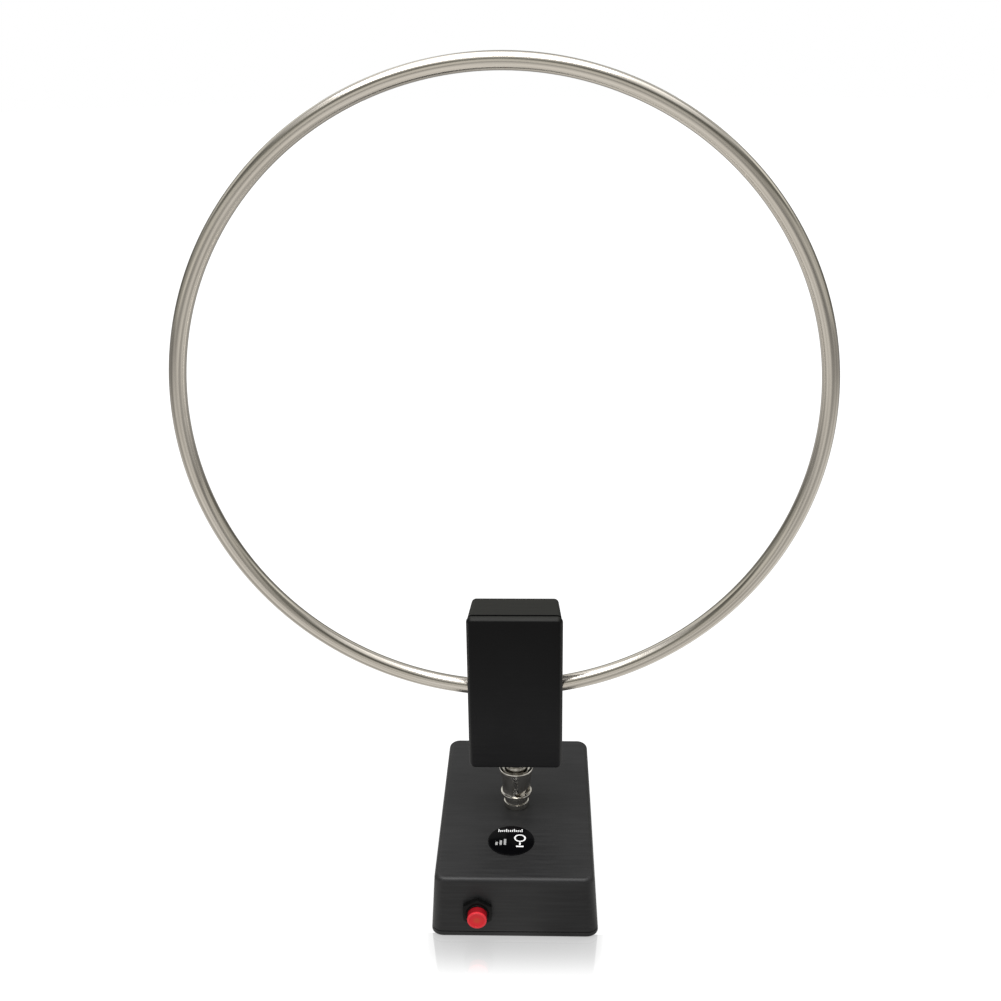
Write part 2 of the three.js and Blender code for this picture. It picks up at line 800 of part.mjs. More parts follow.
function headFrontCover() {
  const { width, height, wall, seam, lip } = HEAD;
  const seamFront = seam + SEAM / 2;
  const plateBack = headFront - wall;
  const lipWidth = width - 2 * wall - 2 * SEAM;
  const lipHeight = height - 2 * wall - 2 * SEAM;
  const plugRoom = 8.5; // the lip stops short of the plug's nut
  const rim = cut(block(lipWidth, lipHeight, seamFront - lip, plateBack + 0.5, 0.6), [
    block(lipWidth - 2, lipHeight - 2, 0, FAR, 0.4),
    rod(plugRoom, 0, plateBack, 12).translate(0, -headMiddle, 0),
  ]).translate(0, headMiddle, 0);
  const plate = cut(headBlock(), [headHollow(), box(FAR, FAR, -FAR, seamFront)]);
  const posts = headPosts(postMeeting + SEAM, headFront - 1, HEAD.postRadius);
  return cut(join([plate, rim, ...posts]), headPosts(-FAR, 4, headScrewShaft + 0.15));
}

const loopRadius = (LOOP.diameter - LOOP.tube) / 2;
const loopCentre = LOOP.centre - HEAD.bottom;

// Height of the lower part of the loop's centreline at a distance from the middle.
function loopY(x) {
  return loopCentre - Math.sqrt(loopRadius ** 2 - x ** 2);
}

// Leans a solid with the loop, about the loop's lowest point.
function leaned(geometry) {
  return geometry.translate(0, -loopY(0), 0).rotateZ(LOOP.lean).translate(0, loopY(0), 0);
}

function boltPlace(geometry, side, z = 0) {
  return leaned(geometry.translate(side * LOOP.bolt, loopY(LOOP.bolt), z));
}

class LoopArc extends THREE.Curve {
  getPoint(t, target = new THREE.Vector3()) {
    const gap = Math.asin(LOOP.halfGap / loopRadius);
    const angle = -Math.PI / 2 + gap + (2 * Math.PI - 2 * gap) * t;
    return target.set(loopRadius * Math.cos(angle), loopCentre + loopRadius * Math.sin(angle), 0);
  }
}

const boltRadius = 1.45;

function loopTube() {
  const section = new THREE.Shape(polygonPath(LOOP.tube / 2, 10));
  section.holes.push(new THREE.Path(polygonPath(LOOP.tube / 2 - LOOP.wall, 6)));
  const tube = new THREE.ExtrudeGeometry(section, { steps: 64, extrudePath: new LoopArc() });
  const boltHoles = [-1, 1].map((side) =>
    boltPlace(rod(boltRadius + 0.2, -LOOP.tube, LOOP.tube, 12), side));
  return cut(leaned(tube), boltHoles);
}

function amplifierBoard() {
  const { width, height, bottom, front } = ampBoard;
  const plate = block(width, height, ampBack, front, 1).translate(0, bottom + height / 2, 0);
  const boltHoles = [-1, 1].map((side) =>
    boltPlace(rod(boltRadius + 0.15, -FAR, FAR, 12), side));
  const screwHole = rod(1.1, -FAR, FAR, 12).translate(0, boardScrewHeight, 0);
  return cut(plate, [...boltHoles, screwHole]);
}

// Each tube end is bolted through to the amplifier board: head in front, nut behind.
function loopFasteners() {
  const headHeight = 2;
  const boltLength = 10.4;
  return [['left', -1], ['right', 1]].flatMap(([name, side]) => {
    const bolt = panScrew(2.75, headHeight, boltRadius, boltLength).rotateX(Math.PI);
    boltPlace(bolt, side, LOOP.tube / 2 + SEAT);
    const nut = hexNut(5.5, boltRadius + 0.1, ampBack - 2, ampBack - SEAT);
    boltPlace(nut, side);
    return [
      piece(`loop_bolt_${name}`, bolt, STAINLESS),
      piece(`loop_nut_${name}`, nut, STAINLESS),
    ];
  });
}

function head() {
  const onBoard = ampBoard.front + SEAT;
  const boardScrew = panScrew(2, 1.4, 0.85, 3.5).rotateX(Math.PI);
  boardScrew.translate(0, boardScrewHeight, onBoard);
  const toroid = ring(2.4, 4.8, onBoard, onBoard + 4, 20).translate(0, 45, 0);
  const chip = block(5, 4, onBoard, onBoard + 1.6, 0.3).translate(-6, 22, 0);
  const pieces = [
    piece('head_rear_shell', headRearShell(), ABS),
    piece('head_front_cover', headFrontCover(), ABS),
    piece('loop_tube', loopTube(), STAINLESS),
    ...loopFasteners(),
    piece('amplifier_board', amplifierBoard(), LAMINATE),
    piece('toroid_transformer', toroid, FERRITE),
    piece('amplifier_chip', chip, CHIP),
    piece('board_screw', boardScrew, SPRING_STEEL),
  ];
  const corners = [[-1, -1], [1, -1], [-1, 1], [1, 1]];
  corners.forEach(([side, end], i) => {
    const screw = piece(`head_screw_${i + 1}`, countersunkScrew(headScrewHead, headScrewShaft, 11),
      BLACK_SCREW);
    screw.position.set(side * headPostX, headMiddle + end * headPostY, headBack + SEAT);
    pieces.push(screw);
  });
  return group(pieces, 0, 0, HEAD.bottom, TO_FRONT);
}

// ---------------------------------------------------------------- the whole aerial

export default group([
  baseCase(),
  jack('panel_jack', 0, 0, BASE.height, 0),
  jack('output_jack', OUTPUT.x, BASE.depth / 2, OUTPUT.z, TO_BACK),
  pushSwitch(),
  power(),
  plug(),
  head(),
]);
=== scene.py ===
"""An indoor loop aerial: a steel loop stands in a slim head, which plugs into a battery base.

The visible shells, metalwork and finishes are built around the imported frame. Lengths in this script
are millimetres; a piece turns into metres when it is placed.
"""

import math

import bmesh
import bpy
from mathutils import Matrix, Vector


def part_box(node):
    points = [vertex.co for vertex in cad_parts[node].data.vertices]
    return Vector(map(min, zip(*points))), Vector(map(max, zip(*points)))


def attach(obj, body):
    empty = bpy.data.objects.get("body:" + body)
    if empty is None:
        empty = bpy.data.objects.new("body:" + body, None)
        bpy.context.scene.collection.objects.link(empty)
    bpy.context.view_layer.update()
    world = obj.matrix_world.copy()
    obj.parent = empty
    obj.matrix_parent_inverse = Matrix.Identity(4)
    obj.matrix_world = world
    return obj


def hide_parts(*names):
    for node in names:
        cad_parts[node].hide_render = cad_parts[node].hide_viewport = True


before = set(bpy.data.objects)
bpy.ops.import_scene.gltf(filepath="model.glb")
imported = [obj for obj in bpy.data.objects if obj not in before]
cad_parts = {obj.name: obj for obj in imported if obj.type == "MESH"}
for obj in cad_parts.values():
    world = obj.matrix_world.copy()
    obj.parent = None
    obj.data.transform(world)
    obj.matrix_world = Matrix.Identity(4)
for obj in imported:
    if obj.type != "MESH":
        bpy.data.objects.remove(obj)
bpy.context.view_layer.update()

# ------------------------------------------------------------------ driving dimensions

MM = 0.001

BASE_WALL = 2.0
BASE_FLARE = 1.9  # how far each side leans out from the top down to the floor
BASE_CORNER = 4.5
BASE_FILLET = 2.0
COVER_THICKNESS = 2.5
COVER_FILLET = 1.2
COVER_LIP = 2.0
BASE_POST = 7.6

HEAD_WALL = 1.8
HEAD_CORNER = 2.5
HEAD_BEVEL = 1.2  # softened edge round the front cover
COVER_DROP = 0.7  # how much lower the front cover sits than the rear shell
HEAD_POST = 2.7
PARTING = 0.3
HEAD_PARTING = 0.8
BASE_BREAK = 0.16  # rounding of the two edges along the base's parting line
HEAD_BREAK = 0.4
REAR_FILLET = 1.1
HEAD_TAPER = 1.1  # how much each side of the rear shell draws in towards its back

LOOP_TUBE = 6.5
LOOP_WALL = 0.9
LOOP_GAP = 6.0  # from the middle of the head to each tube end
LOOP_BOLT = 9.5  # from the middle of the head to each clamping bolt

STUD_HEIGHT = 10.0  # bayonet studs above the jack's panel
STUD_RADIUS = 1.0
CAM_TURN = math.radians(80)
CAM_RISE = 2.2
CAM_HALF_WIDTH = 1.14

BADGE_EDGE = 0.34  # height of the badge's rim
BADGE_CROWN = 0.36  # rise from its rim to its middle
INK = 0.035  # how far the print stands above the badge

# ------------------------------------------------------------------ places, from the frame


def span(*pieces):
    """Lowest and highest corner of some CAD nodes together, in millimetres."""
    lows, highs = zip(*(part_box(piece) for piece in pieces))
    low = Vector([min(corner[axis] for corner in lows) for axis in range(3)])
    high = Vector([max(corner[axis] for corner in highs) for axis in range(3)])
    return low / MM, high / MM


def middle(*pieces):
    low, high = span(*pieces)
    return (low + high) / 2


TO_FRONT = Matrix.Rotation(math.pi / 2, 4, "X")  # +Z looks out of the front, +Y up
TO_BACK = Matrix.Rotation(-math.pi / 2, 4, "X")  # +Z looks out of the back

BASE_LOW, BASE_HIGH = span("base_shell", "base_cover")
HEAD_LOW, HEAD_HIGH = span("head_rear_shell", "head_front_cover")
HEAD_MIDDLE = (HEAD_LOW + HEAD_HIGH) / 2
LOOP_RADIUS = 125.0 - LOOP_TUBE / 2  # of the tube's centreline
LOOP_CENTRE = middle("loop_tube")
LOOP_CENTRE.z = span("loop_tube")[1].z - LOOP_TUBE / 2 - LOOP_RADIUS
LOOP_LEAN = math.asin(-LOOP_CENTRE.x / LOOP_RADIUS)  # to the left, about its lowest point


def frame_at(x, y, z, turn=Matrix.Identity(4)):
    return Matrix.Translation((x, y, z)) @ turn


def behind(piece, reach=0.0):
    """A frame on a piece's axis that looks out of the back, at the piece's rear end."""
    centre = middle(piece)
    return frame_at(centre.x, span(piece)[1].y + reach, centre.z, TO_BACK)


PANEL = frame_at(0, 0, BASE_HIGH.z)
REAR_PANEL = behind("output_jack_shell", BASE_HIGH.y - span("output_jack_shell")[1].y)
SWITCH = frame_at(middle("button_cap").x, BASE_LOW.y, middle("button_cap").z, TO_FRONT)
BADGE = frame_at(middle("badge").x, middle("badge").y, BASE_HIGH.z)
BADGE_RADIUS = (span("badge")[1].x - span("badge")[0].x) / 2
HEAD = frame_at(*HEAD_MIDDLE, TO_FRONT)
LOOP = frame_at(*LOOP_CENTRE, TO_FRONT @ Matrix.Rotation(LOOP_LEAN, 4, "Z"))

# ------------------------------------------------------------------ solids


def skin(rings, closed=False):
    """A closed mesh over matching rings of points. A ring of one point is a tip. An open stack
    gets a flat cap at each end, and a closed one joins its last ring to its first."""
    bm = bmesh.new()
    loops = [[bm.verts.new(point) for point in ring] for ring in rings]
    sides = max(len(loop) for loop in loops)
    pairs = list(zip(loops, loops[1:]))
    if closed:
        pairs.append((loops[-1], loops[0]))
    for below, above in pairs:
        for i in range(sides):
            j = (i + 1) % sides
            corners = [below[i % len(below)], below[j % len(below)],
                       above[j % len(above)], above[i % len(above)]]
            bm.faces.new(list(dict.fromkeys(corners)))
    if not closed:
        for loop in (loops[0], loops[-1]):
            if len(loop) > 1:
                bm.faces.new(loop)
    bmesh.ops.recalc_face_normals(bm, faces=bm.faces)
    return as_object(bm)


def as_object(bm):
    mesh = bpy.data.meshes.new("solid")
    bm.to_mesh(mesh)
    bm.free()
    made = bpy.data.objects.new("solid", mesh)
    bpy.context.scene.collection.objects.link(made)
    return made


def eased(outline, ease, closed=False):
    """An outline with its corners rounded as arcs. A point may carry its own radius as a third
    number; the two ends of an open outline stay as they are."""
    made = []
    for i, (across, up, *own) in enumerate(outline):
        here = Vector((across, up))
        radius = own[0] if own else ease
        if radius == 0 or (not closed and i in (0, len(outline) - 1)):
            made.append(here)
            continue
        before = Vector(outline[i - 1][:2]) - here
        after = Vector(outline[(i + 1) % len(outline)][:2]) - here
        reach = min(radius, 0.48 * before.length, 0.48 * after.length)
        start, end = here + before.normalized() * reach, here + after.normalized() * reach
        weight = math.sin(before.angle(after) / 2)
        steps = max(2, min(8, round(4 * reach)))
        for step in range(steps + 1):
            t = step / steps
            shares = ((1 - t) ** 2, 2 * weight * t * (1 - t), t ** 2)
            made.append((start * shares[0] + here * shares[1] + end * shares[2]) / sum(shares))
    return made


def turned(outline, sides=64, ease=0.12):
    """A solid of revolution about Z from (radius, height) points, which start and end on the axis
    or close on themselves."""
    closed = outline[0][0] > 0
    rings = []
    for radius, height in eased(outline, ease, closed):
        if radius < 1e-6:
            rings.append([(0, 0, height)])
            continue
        ring = []
        for i in range(sides):
            angle = 2 * math.pi * i / sides
            ring.append((radius * math.cos(angle), radius * math.sin(angle), height))
        rings.append(ring)
    return skin(rings, closed)


def rod(radius, bottom, top, sides=48):
    return turned([(0, bottom), (radius, bottom), (radius, top), (0, top)], sides, ease=0)


def thread(radius, bottom, top, pitch=0.8, depth=0.4):
    """The side of a threaded length, as sharp ridges up the outline."""
    ridges = round(abs(top - bottom) / pitch)
    step = (top - bottom) / ridges
    points = []
    for i in range(ridges):
        points += [(radius - depth, bottom + i * step, 0), (radius, bottom + (i + 0.5) * step, 0)]
    return points + [(radius - depth, top, 0)]


def rounded_rectangle(width, depth, corner, height, steps=6):
    ring = []
    for quarter, (side, end) in enumerate([(1, 1), (-1, 1), (-1, -1), (1, -1)]):
        for step in range(steps + 1):
            angle = math.pi / 2 * (quarter + step / steps)
            ring.append((side * (width / 2 - corner) + corner * math.cos(angle),
                         end * (depth / 2 - corner) + corner * math.sin(angle), height))
    return ring


def moulded(width, depth, corner, outline, ease=0.3, spread=None):
    """A box-like shell: each (inset, height) point of the outline is a rounded rectangle that much
    smaller than the box. spread(inset, height) can move the two sides out."""
    rings = []
    for inset, height in eased(outline, ease):
        across, along = width - 2 * inset, depth - 2 * inset
        radius = min(max(corner - inset, 0.3), 0.45 * min(across, along))
        ring = rounded_rectangle(across, along, radius, height)
        if spread:
            out = spread(inset, height)
            ring = [(x + math.copysign(1, x) * out, y, z) for x, y, z in ring]
        rings.append(ring)
    return skin(rings)


def bar(width, depth, bottom, top, corner=0.2, ease=0.0):
    if ease == 0:
        ends = [rounded_rectangle(width, depth, corner, height, 3) for height in (bottom, top)]
        return skin(ends)
    outline = [(2 * ease, bottom), (0, bottom), (0, top), (2 * ease, top)]
    return moulded(width, depth, corner, outline, ease)


def moved(solid, x=0.0, y=0.0, z=0.0, turn=Matrix.Identity(4)):
    solid.data.transform(Matrix.Translation((x, y, z)) @ turn)
    return solid


def at_corners(x, y, make):
    return [moved(make(), side * x, end * y) for side in (-1, 1) for end in (-1, 1)]


def shape(target, tools, operation):
    """Joins the tools to the target, or cuts them from it, and uses them up."""
    for tool in tools:
        modifier = target.modifiers.new("shape", "BOOLEAN")
        modifier.operation = operation
        modifier.solver = "EXACT"
        modifier.object = tool
    bpy.context.view_layer.update()
    evaluated = target.evaluated_get(bpy.context.evaluated_depsgraph_get())
    mesh = bpy.data.meshes.new_from_object(evaluated)
    target.modifiers.clear()
    target.data = mesh
    for tool in tools:
        bpy.data.objects.remove(tool)
    return target


def cut(target, *tools):
    return shape(target, tools, "DIFFERENCE")


def join(target, *tools):
    return shape(target, tools, "UNION")


def together(solids):
    """Several separate closed shells as one mesh."""
    bm = bmesh.new()
    for solid in solids:
        bm.from_mesh(solid.data)
        bpy.data.objects.remove(solid)
    return as_object(bm)


# ------------------------------------------------------------------ node graphs


def node(tree, kind, inputs=None, **settings):
    """A shader node whose inputs are given as values or as other nodes' outputs."""
    made = tree.nodes.new("ShaderNode" + kind)
    for key, value in settings.items():
        setattr(made, key, value)
    for key, value in (inputs or {}).items():
        if isinstance(value, bpy.types.NodeSocket):
            tree.links.new(value, made.inputs[key])
        else:
            made.inputs[key].default_value = value
    return made


def math_node(tree, operation, *values, clamp=False):
    inputs = dict(enumerate(values))
    return node(tree, "Math", inputs, operation=operation, use_clamp=clamp).outputs[0]


def remap(tree, value, from_range, to_range):
    inputs = {"Value": value, "From Min": from_range[0], "From Max": from_range[1],
              "To Min": to_range[0], "To Max": to_range[1]}
    return node(tree, "MapRange", inputs, interpolation_type="SMOOTHSTEP").outputs["Result"]


def blend_colour(tree, share, first, second, mode="MIX"):
    made = node(tree, "Mix", data_type="RGBA", blend_type=mode)
    sockets = {"Factor_Float": share, "A_Color": first, "B_Color": second}
    for identifier, value in sockets.items():
        socket = next(s for s in made.inputs if s.identifier == identifier)
        if isinstance(value, bpy.types.NodeSocket):
            tree.links.new(value, socket)
        else:
            socket.default_value = value
    return next(s for s in made.outputs if s.identifier == "Result_Color")


def rgba(red, green, blue):
    return (red, green, blue, 1.0)


def object_place(tree):
    return node(tree, "TexCoord").outputs["Object"]


def noise(tree, place, size, stretch=(1, 1, 1), detail=3.0):
    """Noise whose features are about size millimetres across, times stretch along each axis."""
    scale = [1 / (size * MM * factor) for factor in stretch]
    scaled = node(tree, "Mapping", {"Vector": place, "Scale": scale}).outputs[0]
    return node(tree, "TexNoise", {"Vector": scaled, "Scale": 1.0, "Detail": detail}).outputs["Fac"]


def ring_place(tree, radius):
    """Coordinates that follow the tube of a ring in the XY plane: along it, around it, outwards."""
    parts = node(tree, "SeparateXYZ", {"Vector": object_place(tree)}).outputs
    along = math_node(tree, "ARCTAN2", parts["Y"], parts["X"])
    flat = node(tree, "CombineXYZ", {"X": parts["X"], "Y": parts["Y"]}).outputs[0]
    reach = node(tree, "VectorMath", {0: flat}, operation="LENGTH").outputs["Value"]
    around = math_node(tree, "ARCTAN2", parts["Z"], math_node(tree, "SUBTRACT", reach, radius * MM))
    length = math_node(tree, "MULTIPLY", along, radius * MM)
    girth = math_node(tree, "MULTIPLY", around, LOOP_TUBE / 2 * MM)
    return node(tree, "CombineXYZ", {"X": length, "Y": girth}).outputs[0]


def edge_wear(tree, reach):
    """1 along convex edges within reach millimetres, 0 on flat faces."""
    softened = node(tree, "Bevel", {"Radius": reach * MM}, samples=4).outputs[0]
    true = node(tree, "NewGeometry").outputs["Normal"]
    likeness = node(tree, "VectorMath", {0: softened, 1: true}, operation="DOT_PRODUCT")
    return remap(tree, likeness.outputs["Value"], (0.995, 0.9), (0.0, 1.0))


def bumped(tree, layers):
    """Stacked bumps. Each layer is a height and its depth in millimetres."""
    normal = None
    for height, depth in layers:
        inputs = {"Height": height, "Distance": depth * MM, "Strength": 1.0}
        if normal:
            inputs["Normal"] = normal
        normal = node(tree, "Bump", inputs).outputs["Normal"]
    return normal


def finish(name, colour, roughness, metallic=0.0, specular=0.5, normal=None, coat=0.0, **more):
    """Adds the surface shader to a material started by new_material."""
    material = bpy.data.materials[f"{name}_finish"]
    tree = material.node_tree
    inputs = {"Base Color": colour, "Roughness": roughness, "Metallic": metallic,
              "Specular IOR Level": specular, "Coat Weight": coat, **more}
    if normal:
        inputs["Normal"] = normal
    shader = node(tree, "BsdfPrincipled", inputs)
    output = node(tree, "OutputMaterial")
    tree.links.new(shader.outputs[0], output.inputs["Surface"])
    return material


def new_material(name):
    """The node tree of an empty material, whose name stays clear of the frame's own materials."""
    material = bpy.data.materials.new(f"{name}_finish")
    material.use_nodes = True
    material.node_tree.nodes.clear()
    return material.node_tree


def scaled(colour, factor):
    return rgba(*(channel * factor for channel in colour))


# ------------------------------------------------------------------ finishes


def moulded_plastic(name, dark, light, drawn, grain_share, specular, fade=None):
    """Fine-textured black ABS with a faint drawn grain, rubbed a little lighter along its edges.
    fade is painted shading: the head's colour is scaled from fade's first factor at its top to its second
    at its bottom. Upward faces of the head are painted lighter, a painted top light that also lays a
    painted highlight along its top fillet."""
    tree = new_material(name)
    place = object_place(tree)
    streaks = noise(tree, place, 0.7, (26, 1, 1), 4)
    patches = noise(tree, place, 14)
    grains = noise(tree, place, 0.42, detail=2)
    base = blend_colour(tree, patches, rgba(*dark), rgba(*light))
    lines = remap(tree, streaks, (0.35, 0.7), (0, grain_share))
    lined = blend_colour(tree, lines, base, rgba(*drawn))
    if fade:
        # painted shading: the head is darker towards its top and lighter towards its bottom, by the
        # factors in fade
        height = node(tree, "SeparateXYZ", {"Vector": place}).outputs["Y"]
        shade = remap(tree, height, (0.034, -0.034), fade)
        lined = blend_colour(tree, 1.0, lined, shade, "MULTIPLY")
        # painted top light: faces that look upwards are blended towards a lighter grey, which also lays a
        # painted highlight along the top fillet
        facing = node(tree, "NewGeometry").outputs["Normal"]
        upward = node(tree, "SeparateXYZ", {"Vector": facing}).outputs["Z"]
        painted_top_light = remap(tree, upward, (0.5, 0.95), (0, 0.8))
        lined = blend_colour(tree, painted_top_light, lined, rgba(0.0165, 0.0165, 0.0145))
    rubbed = math_node(tree, "MULTIPLY", edge_wear(tree, 0.35), 0.25)
    worn = blend_colour(tree, rubbed, lined, rgba(0.03, 0.03, 0.031))
    rough = remap(tree, streaks, (0.3, 0.75), (0.40, 0.49))
    normal = bumped(tree, [(streaks, 0.016 * grain_share), (grains, 0.018)])
    return finish(name, worn, rough, specular=specular, normal=normal)


def switch_plastic():
    tree = new_material("switch_plastic")
    place = object_place(tree)
    patches = noise(tree, place, 2.0)
    colour = blend_colour(tree, patches, rgba(0.0022, 0.0022, 0.0022), rgba(0.0045, 0.0045, 0.0045))
    worn = blend_colour(tree, math_node(tree, "MULTIPLY", edge_wear(tree, 0.2), 0.4), colour,
                        rgba(0.012, 0.012, 0.012))
    rough = remap(tree, patches, (0.3, 0.7), (0.32, 0.46))
    normal = bumped(tree, [(noise(tree, place, 0.35), 0.012)])
    return finish("switch_plastic", worn, rough, specular=0.12, normal=normal)


def red_plastic():
    """Red ABS: a painted highlight makes a paler ring round its rim, its face is browner towards the
    middle and a painted shade darkens its side.
    """
    tree = new_material("red_plastic")
    place = object_place(tree)
    parts = node(tree, "SeparateXYZ", {"Vector": place}).outputs
    flat = node(tree, "CombineXYZ", {"X": parts["X"], "Y": parts["Y"]}).outputs[0]
    reach = node(tree, "VectorMath", {0: flat}, operation="LENGTH").outputs["Value"]
    patches = noise(tree, place, 1.6)
    red = blend_colour(tree, patches, rgba(0.56, 0.006, 0.012), rgba(0.66, 0.014, 0.022))
    hollow = remap(tree, reach, (1.9 * MM, 0.6 * MM), (0, 0.6))
    browned = blend_colour(tree, hollow, red, rgba(0.50, 0.050, 0.016))
    # painted highlight: a paler pink ring round the rim of the cap's face
    rim = remap(tree, reach, (2.8 * MM, 3.4 * MM), (0, 0.4))
    with_rim_highlight = blend_colour(tree, rim, browned, rgba(0.78, 0.055, 0.075))
    # painted shade: the cap's side, below its face, is a darker red
    side = remap(tree, parts["Z"], (5.7 * MM, 5.0 * MM), (0, 1))
    shaded = blend_colour(tree, side, with_rim_highlight, rgba(0.24, 0.0045, 0.009))
    rough = remap(tree, patches, (0.3, 0.7), (0.30, 0.42))
    normal = bumped(tree, [(noise(tree, place, 0.5), 0.015)])
    return finish("red_plastic", shaded, rough, specular=0.28, normal=normal)


def polished_tube():
    """Stainless tube with fine polishing lines that run along the loop."""
    tree = new_material("polished_tube")
    place = ring_place(tree, LOOP_RADIUS)
    lines = noise(tree, place, 0.55, (60, 1, 1), 3)
    fine = noise(tree, place, 0.16, (160, 1, 1), 2)
    patches = noise(tree, place, 9.0, (4, 1, 1))
    warm = blend_colour(tree, patches, rgba(0.60, 0.555, 0.485), rgba(0.68, 0.645, 0.59))
    lined = blend_colour(tree, remap(tree, lines, (0.35, 0.65), (0, 0.35)), warm,
                         rgba(0.48, 0.44, 0.385))
    rough = remap(tree, patches, (0.3, 0.7), (0.13, 0.20))
    normal = bumped(tree, [(lines, 0.016), (fine, 0.004)])
    return finish("polished_tube", lined, rough, metallic=1.0, normal=normal)


def bright_metal(name, low, high, roughness, mark=0.35, tarnish=None):
    """Plated or machined metal with fine turning marks round the part's own axis."""
    tree = new_material(name)
    place = object_place(tree)
    marks = noise(tree, place, mark, (30, 30, 1), 2)
    patches = noise(tree, place, 2.6)
    colour = blend_colour(tree, patches, rgba(*low), rgba(*high))
    if tarnish:
        stain = remap(tree, noise(tree, place, 1.3, detail=5), (0.52, 0.7), (0, 0.6))
        colour = blend_colour(tree, stain, colour, rgba(*tarnish))
    rough = remap(tree, patches, (0.3, 0.7), (roughness * 0.8, roughness * 1.3))
    normal = bumped(tree, [(marks, 0.006)])
    return finish(name, colour, rough, metallic=1.0, normal=normal)


def mottled(name, low, high, roughness, patch, depth=0.0, grain=0.4, **more):
    """A plain plastic, rubber or coating with patches of tone and an uneven surface."""
    tree = new_material(name)
    place = object_place(tree)
    patches = noise(tree, place, patch)
    colour = blend_colour(tree, patches, rgba(*low), rgba(*high))
    rough = remap(tree, patches, (0.3, 0.7), (roughness * 0.85, roughness * 1.15))
    normal = bumped(tree, [(noise(tree, place, grain), depth)]) if depth else None
    return finish(name, colour, rough, normal=normal, **more)


def circuit_laminate():
    """Green solder mask over a weave, with paler tracks."""
    tree = new_material("circuit_laminate")
    place = object_place(tree)
    tracks = node(tree, "TexVoronoi", {"Vector": place, "Scale": 1 / (3.2 * MM)},
                  distance="MANHATTAN").outputs["Distance"]
    lines = remap(tree, tracks, (0.44, 0.47), (0, 1))
    weave = noise(tree, place, 0.5)
    green = blend_colour(tree, weave, rgba(0.006, 0.045, 0.018), rgba(0.010, 0.066, 0.028))
    colour = blend_colour(tree, lines, green, rgba(0.03, 0.14, 0.06))
    return finish("circuit_laminate", colour, 0.35, specular=0.5, coat=0.3,
                  normal=bumped(tree, [(lines, 0.03)]))


def printed_ink(name, shade):
    tree = new_material(name)
    place = object_place(tree)
    patches = noise(tree, place, 0.6, detail=4)
    colour = blend_colour(tree, patches, scaled((1, 1, 0.98), shade * 0.86),
                          scaled((1, 1, 1), shade))
    return finish(name, colour, remap(tree, patches, (0.3, 0.7), (0.35, 0.55)))


def make_finishes():
    """One material for each of the record's slots, plus the looks that share a slot."""
    steel = bright_metal("zinc_steel", (0.34, 0.34, 0.35), (0.44, 0.44, 0.45), 0.34)
    brass = bright_metal("plain_brass", (0.46, 0.30, 0.09), (0.60, 0.41, 0.15), 0.28)
    nickel = bright_metal("nickel_plate", (0.62, 0.595, 0.545), (0.72, 0.70, 0.66), 0.19,
                          tarnish=(0.40, 0.35, 0.26))
    return {
        "abs_black": moulded_plastic("case_plastic", (0.0095, 0.0095, 0.0100),
                                     (0.0150, 0.0150, 0.0155), (0.024, 0.024, 0.0245), 0.5, 0.25),
        # the head look: fade gives it painted shading, darker at the top and lighter at the bottom, and
        # its upward faces take a painted top light
        "head": moulded_plastic("head_plastic", (0.0050, 0.0050, 0.0053),
                                (0.0080, 0.0080, 0.0083), (0.011, 0.011, 0.0112), 0.25, 0.10,
                                fade=(0.5, 1.7)),
        "switch_black": switch_plastic(),
        "button_red": red_plastic(),
        "stainless": bright_metal("stainless", (0.50, 0.47, 0.42), (0.60, 0.57, 0.52), 0.22),
        "tube": polished_tube(),
        "nickel": nickel,
        "gold": bright_metal("gold_flash", (0.72, 0.50, 0.16), (0.85, 0.62, 0.24), 0.2),
        "brass": brass,
        "spring_steel": steel,
        "screw_black": bright_metal("black_oxide", (0.020, 0.020, 0.022), (0.045, 0.045, 0.05), 0.36),
        "ptfe": mottled("ptfe", (0.68, 0.66, 0.60), (0.80, 0.78, 0.72), 0.5, 1.2, 0.01),
        "silicone": mottled("silicone", (0.21, 0.022, 0.014), (0.30, 0.040, 0.022), 0.6, 1.5, 0.02),
        "badge_resin": mottled("badge_resin", (0.0014, 0.0014, 0.0017), (0.0024, 0.0024, 0.0028),
                               0.12, 5.0, 0.02, grain=3.0, specular=0.04),
        "laminate": circuit_laminate(),
        "chip": mottled("chip_epoxy", (0.008, 0.008, 0.008), (0.014, 0.014, 0.014), 0.5, 0.8, 0.01),
        "ferrite": mottled("ferrite", (0.03, 0.03, 0.032), (0.06, 0.06, 0.064), 0.7, 0.9, 0.04),
        "cell_wrap": mottled("cell_wrap", (0.28, 0.31, 0.35), (0.36, 0.39, 0.43), 0.3, 6.0, 0.05,
                             grain=3.0, metallic=0.6),
        "foam": mottled("foam", (0.012, 0.012, 0.012), (0.035, 0.035, 0.035), 0.95, 0.5, 0.12),
        "lens": mottled("lens", (0.20, 0.52, 0.28), (0.30, 0.66, 0.40), 0.15, 0.8, coat=0.5),
        "coax_brown": mottled("coax_brown", (0.085, 0.035, 0.014), (0.12, 0.055, 0.024), 0.45, 1.5, 0.01),
        "wire_red": mottled("wire_red", (0.36, 0.012, 0.008), (0.48, 0.024, 0.015), 0.45, 1.5, 0.01),
        "wire_black": mottled("wire_black", (0.007, 0.007, 0.007), (0.014, 0.014, 0.014), 0.45, 1.5, 0.01),
        "wire_white": mottled("wire_white", (0.60, 0.59, 0.55), (0.72, 0.71, 0.68), 0.45, 1.5, 0.01),
        "ink_white": printed_ink("ink_white", 0.86),
        "ink_grey": printed_ink("ink_grey", 0.34),
        "tongue": mottled("tongue", (0.008, 0.008, 0.009), (0.016, 0.016, 0.017), 0.4, 0.8, 0.01),
    }


FINISHES = make_finishes()
CREASE = math.radians(34)  # a sharper turn than this stays an edge

# ------------------------------------------------------------------ placing


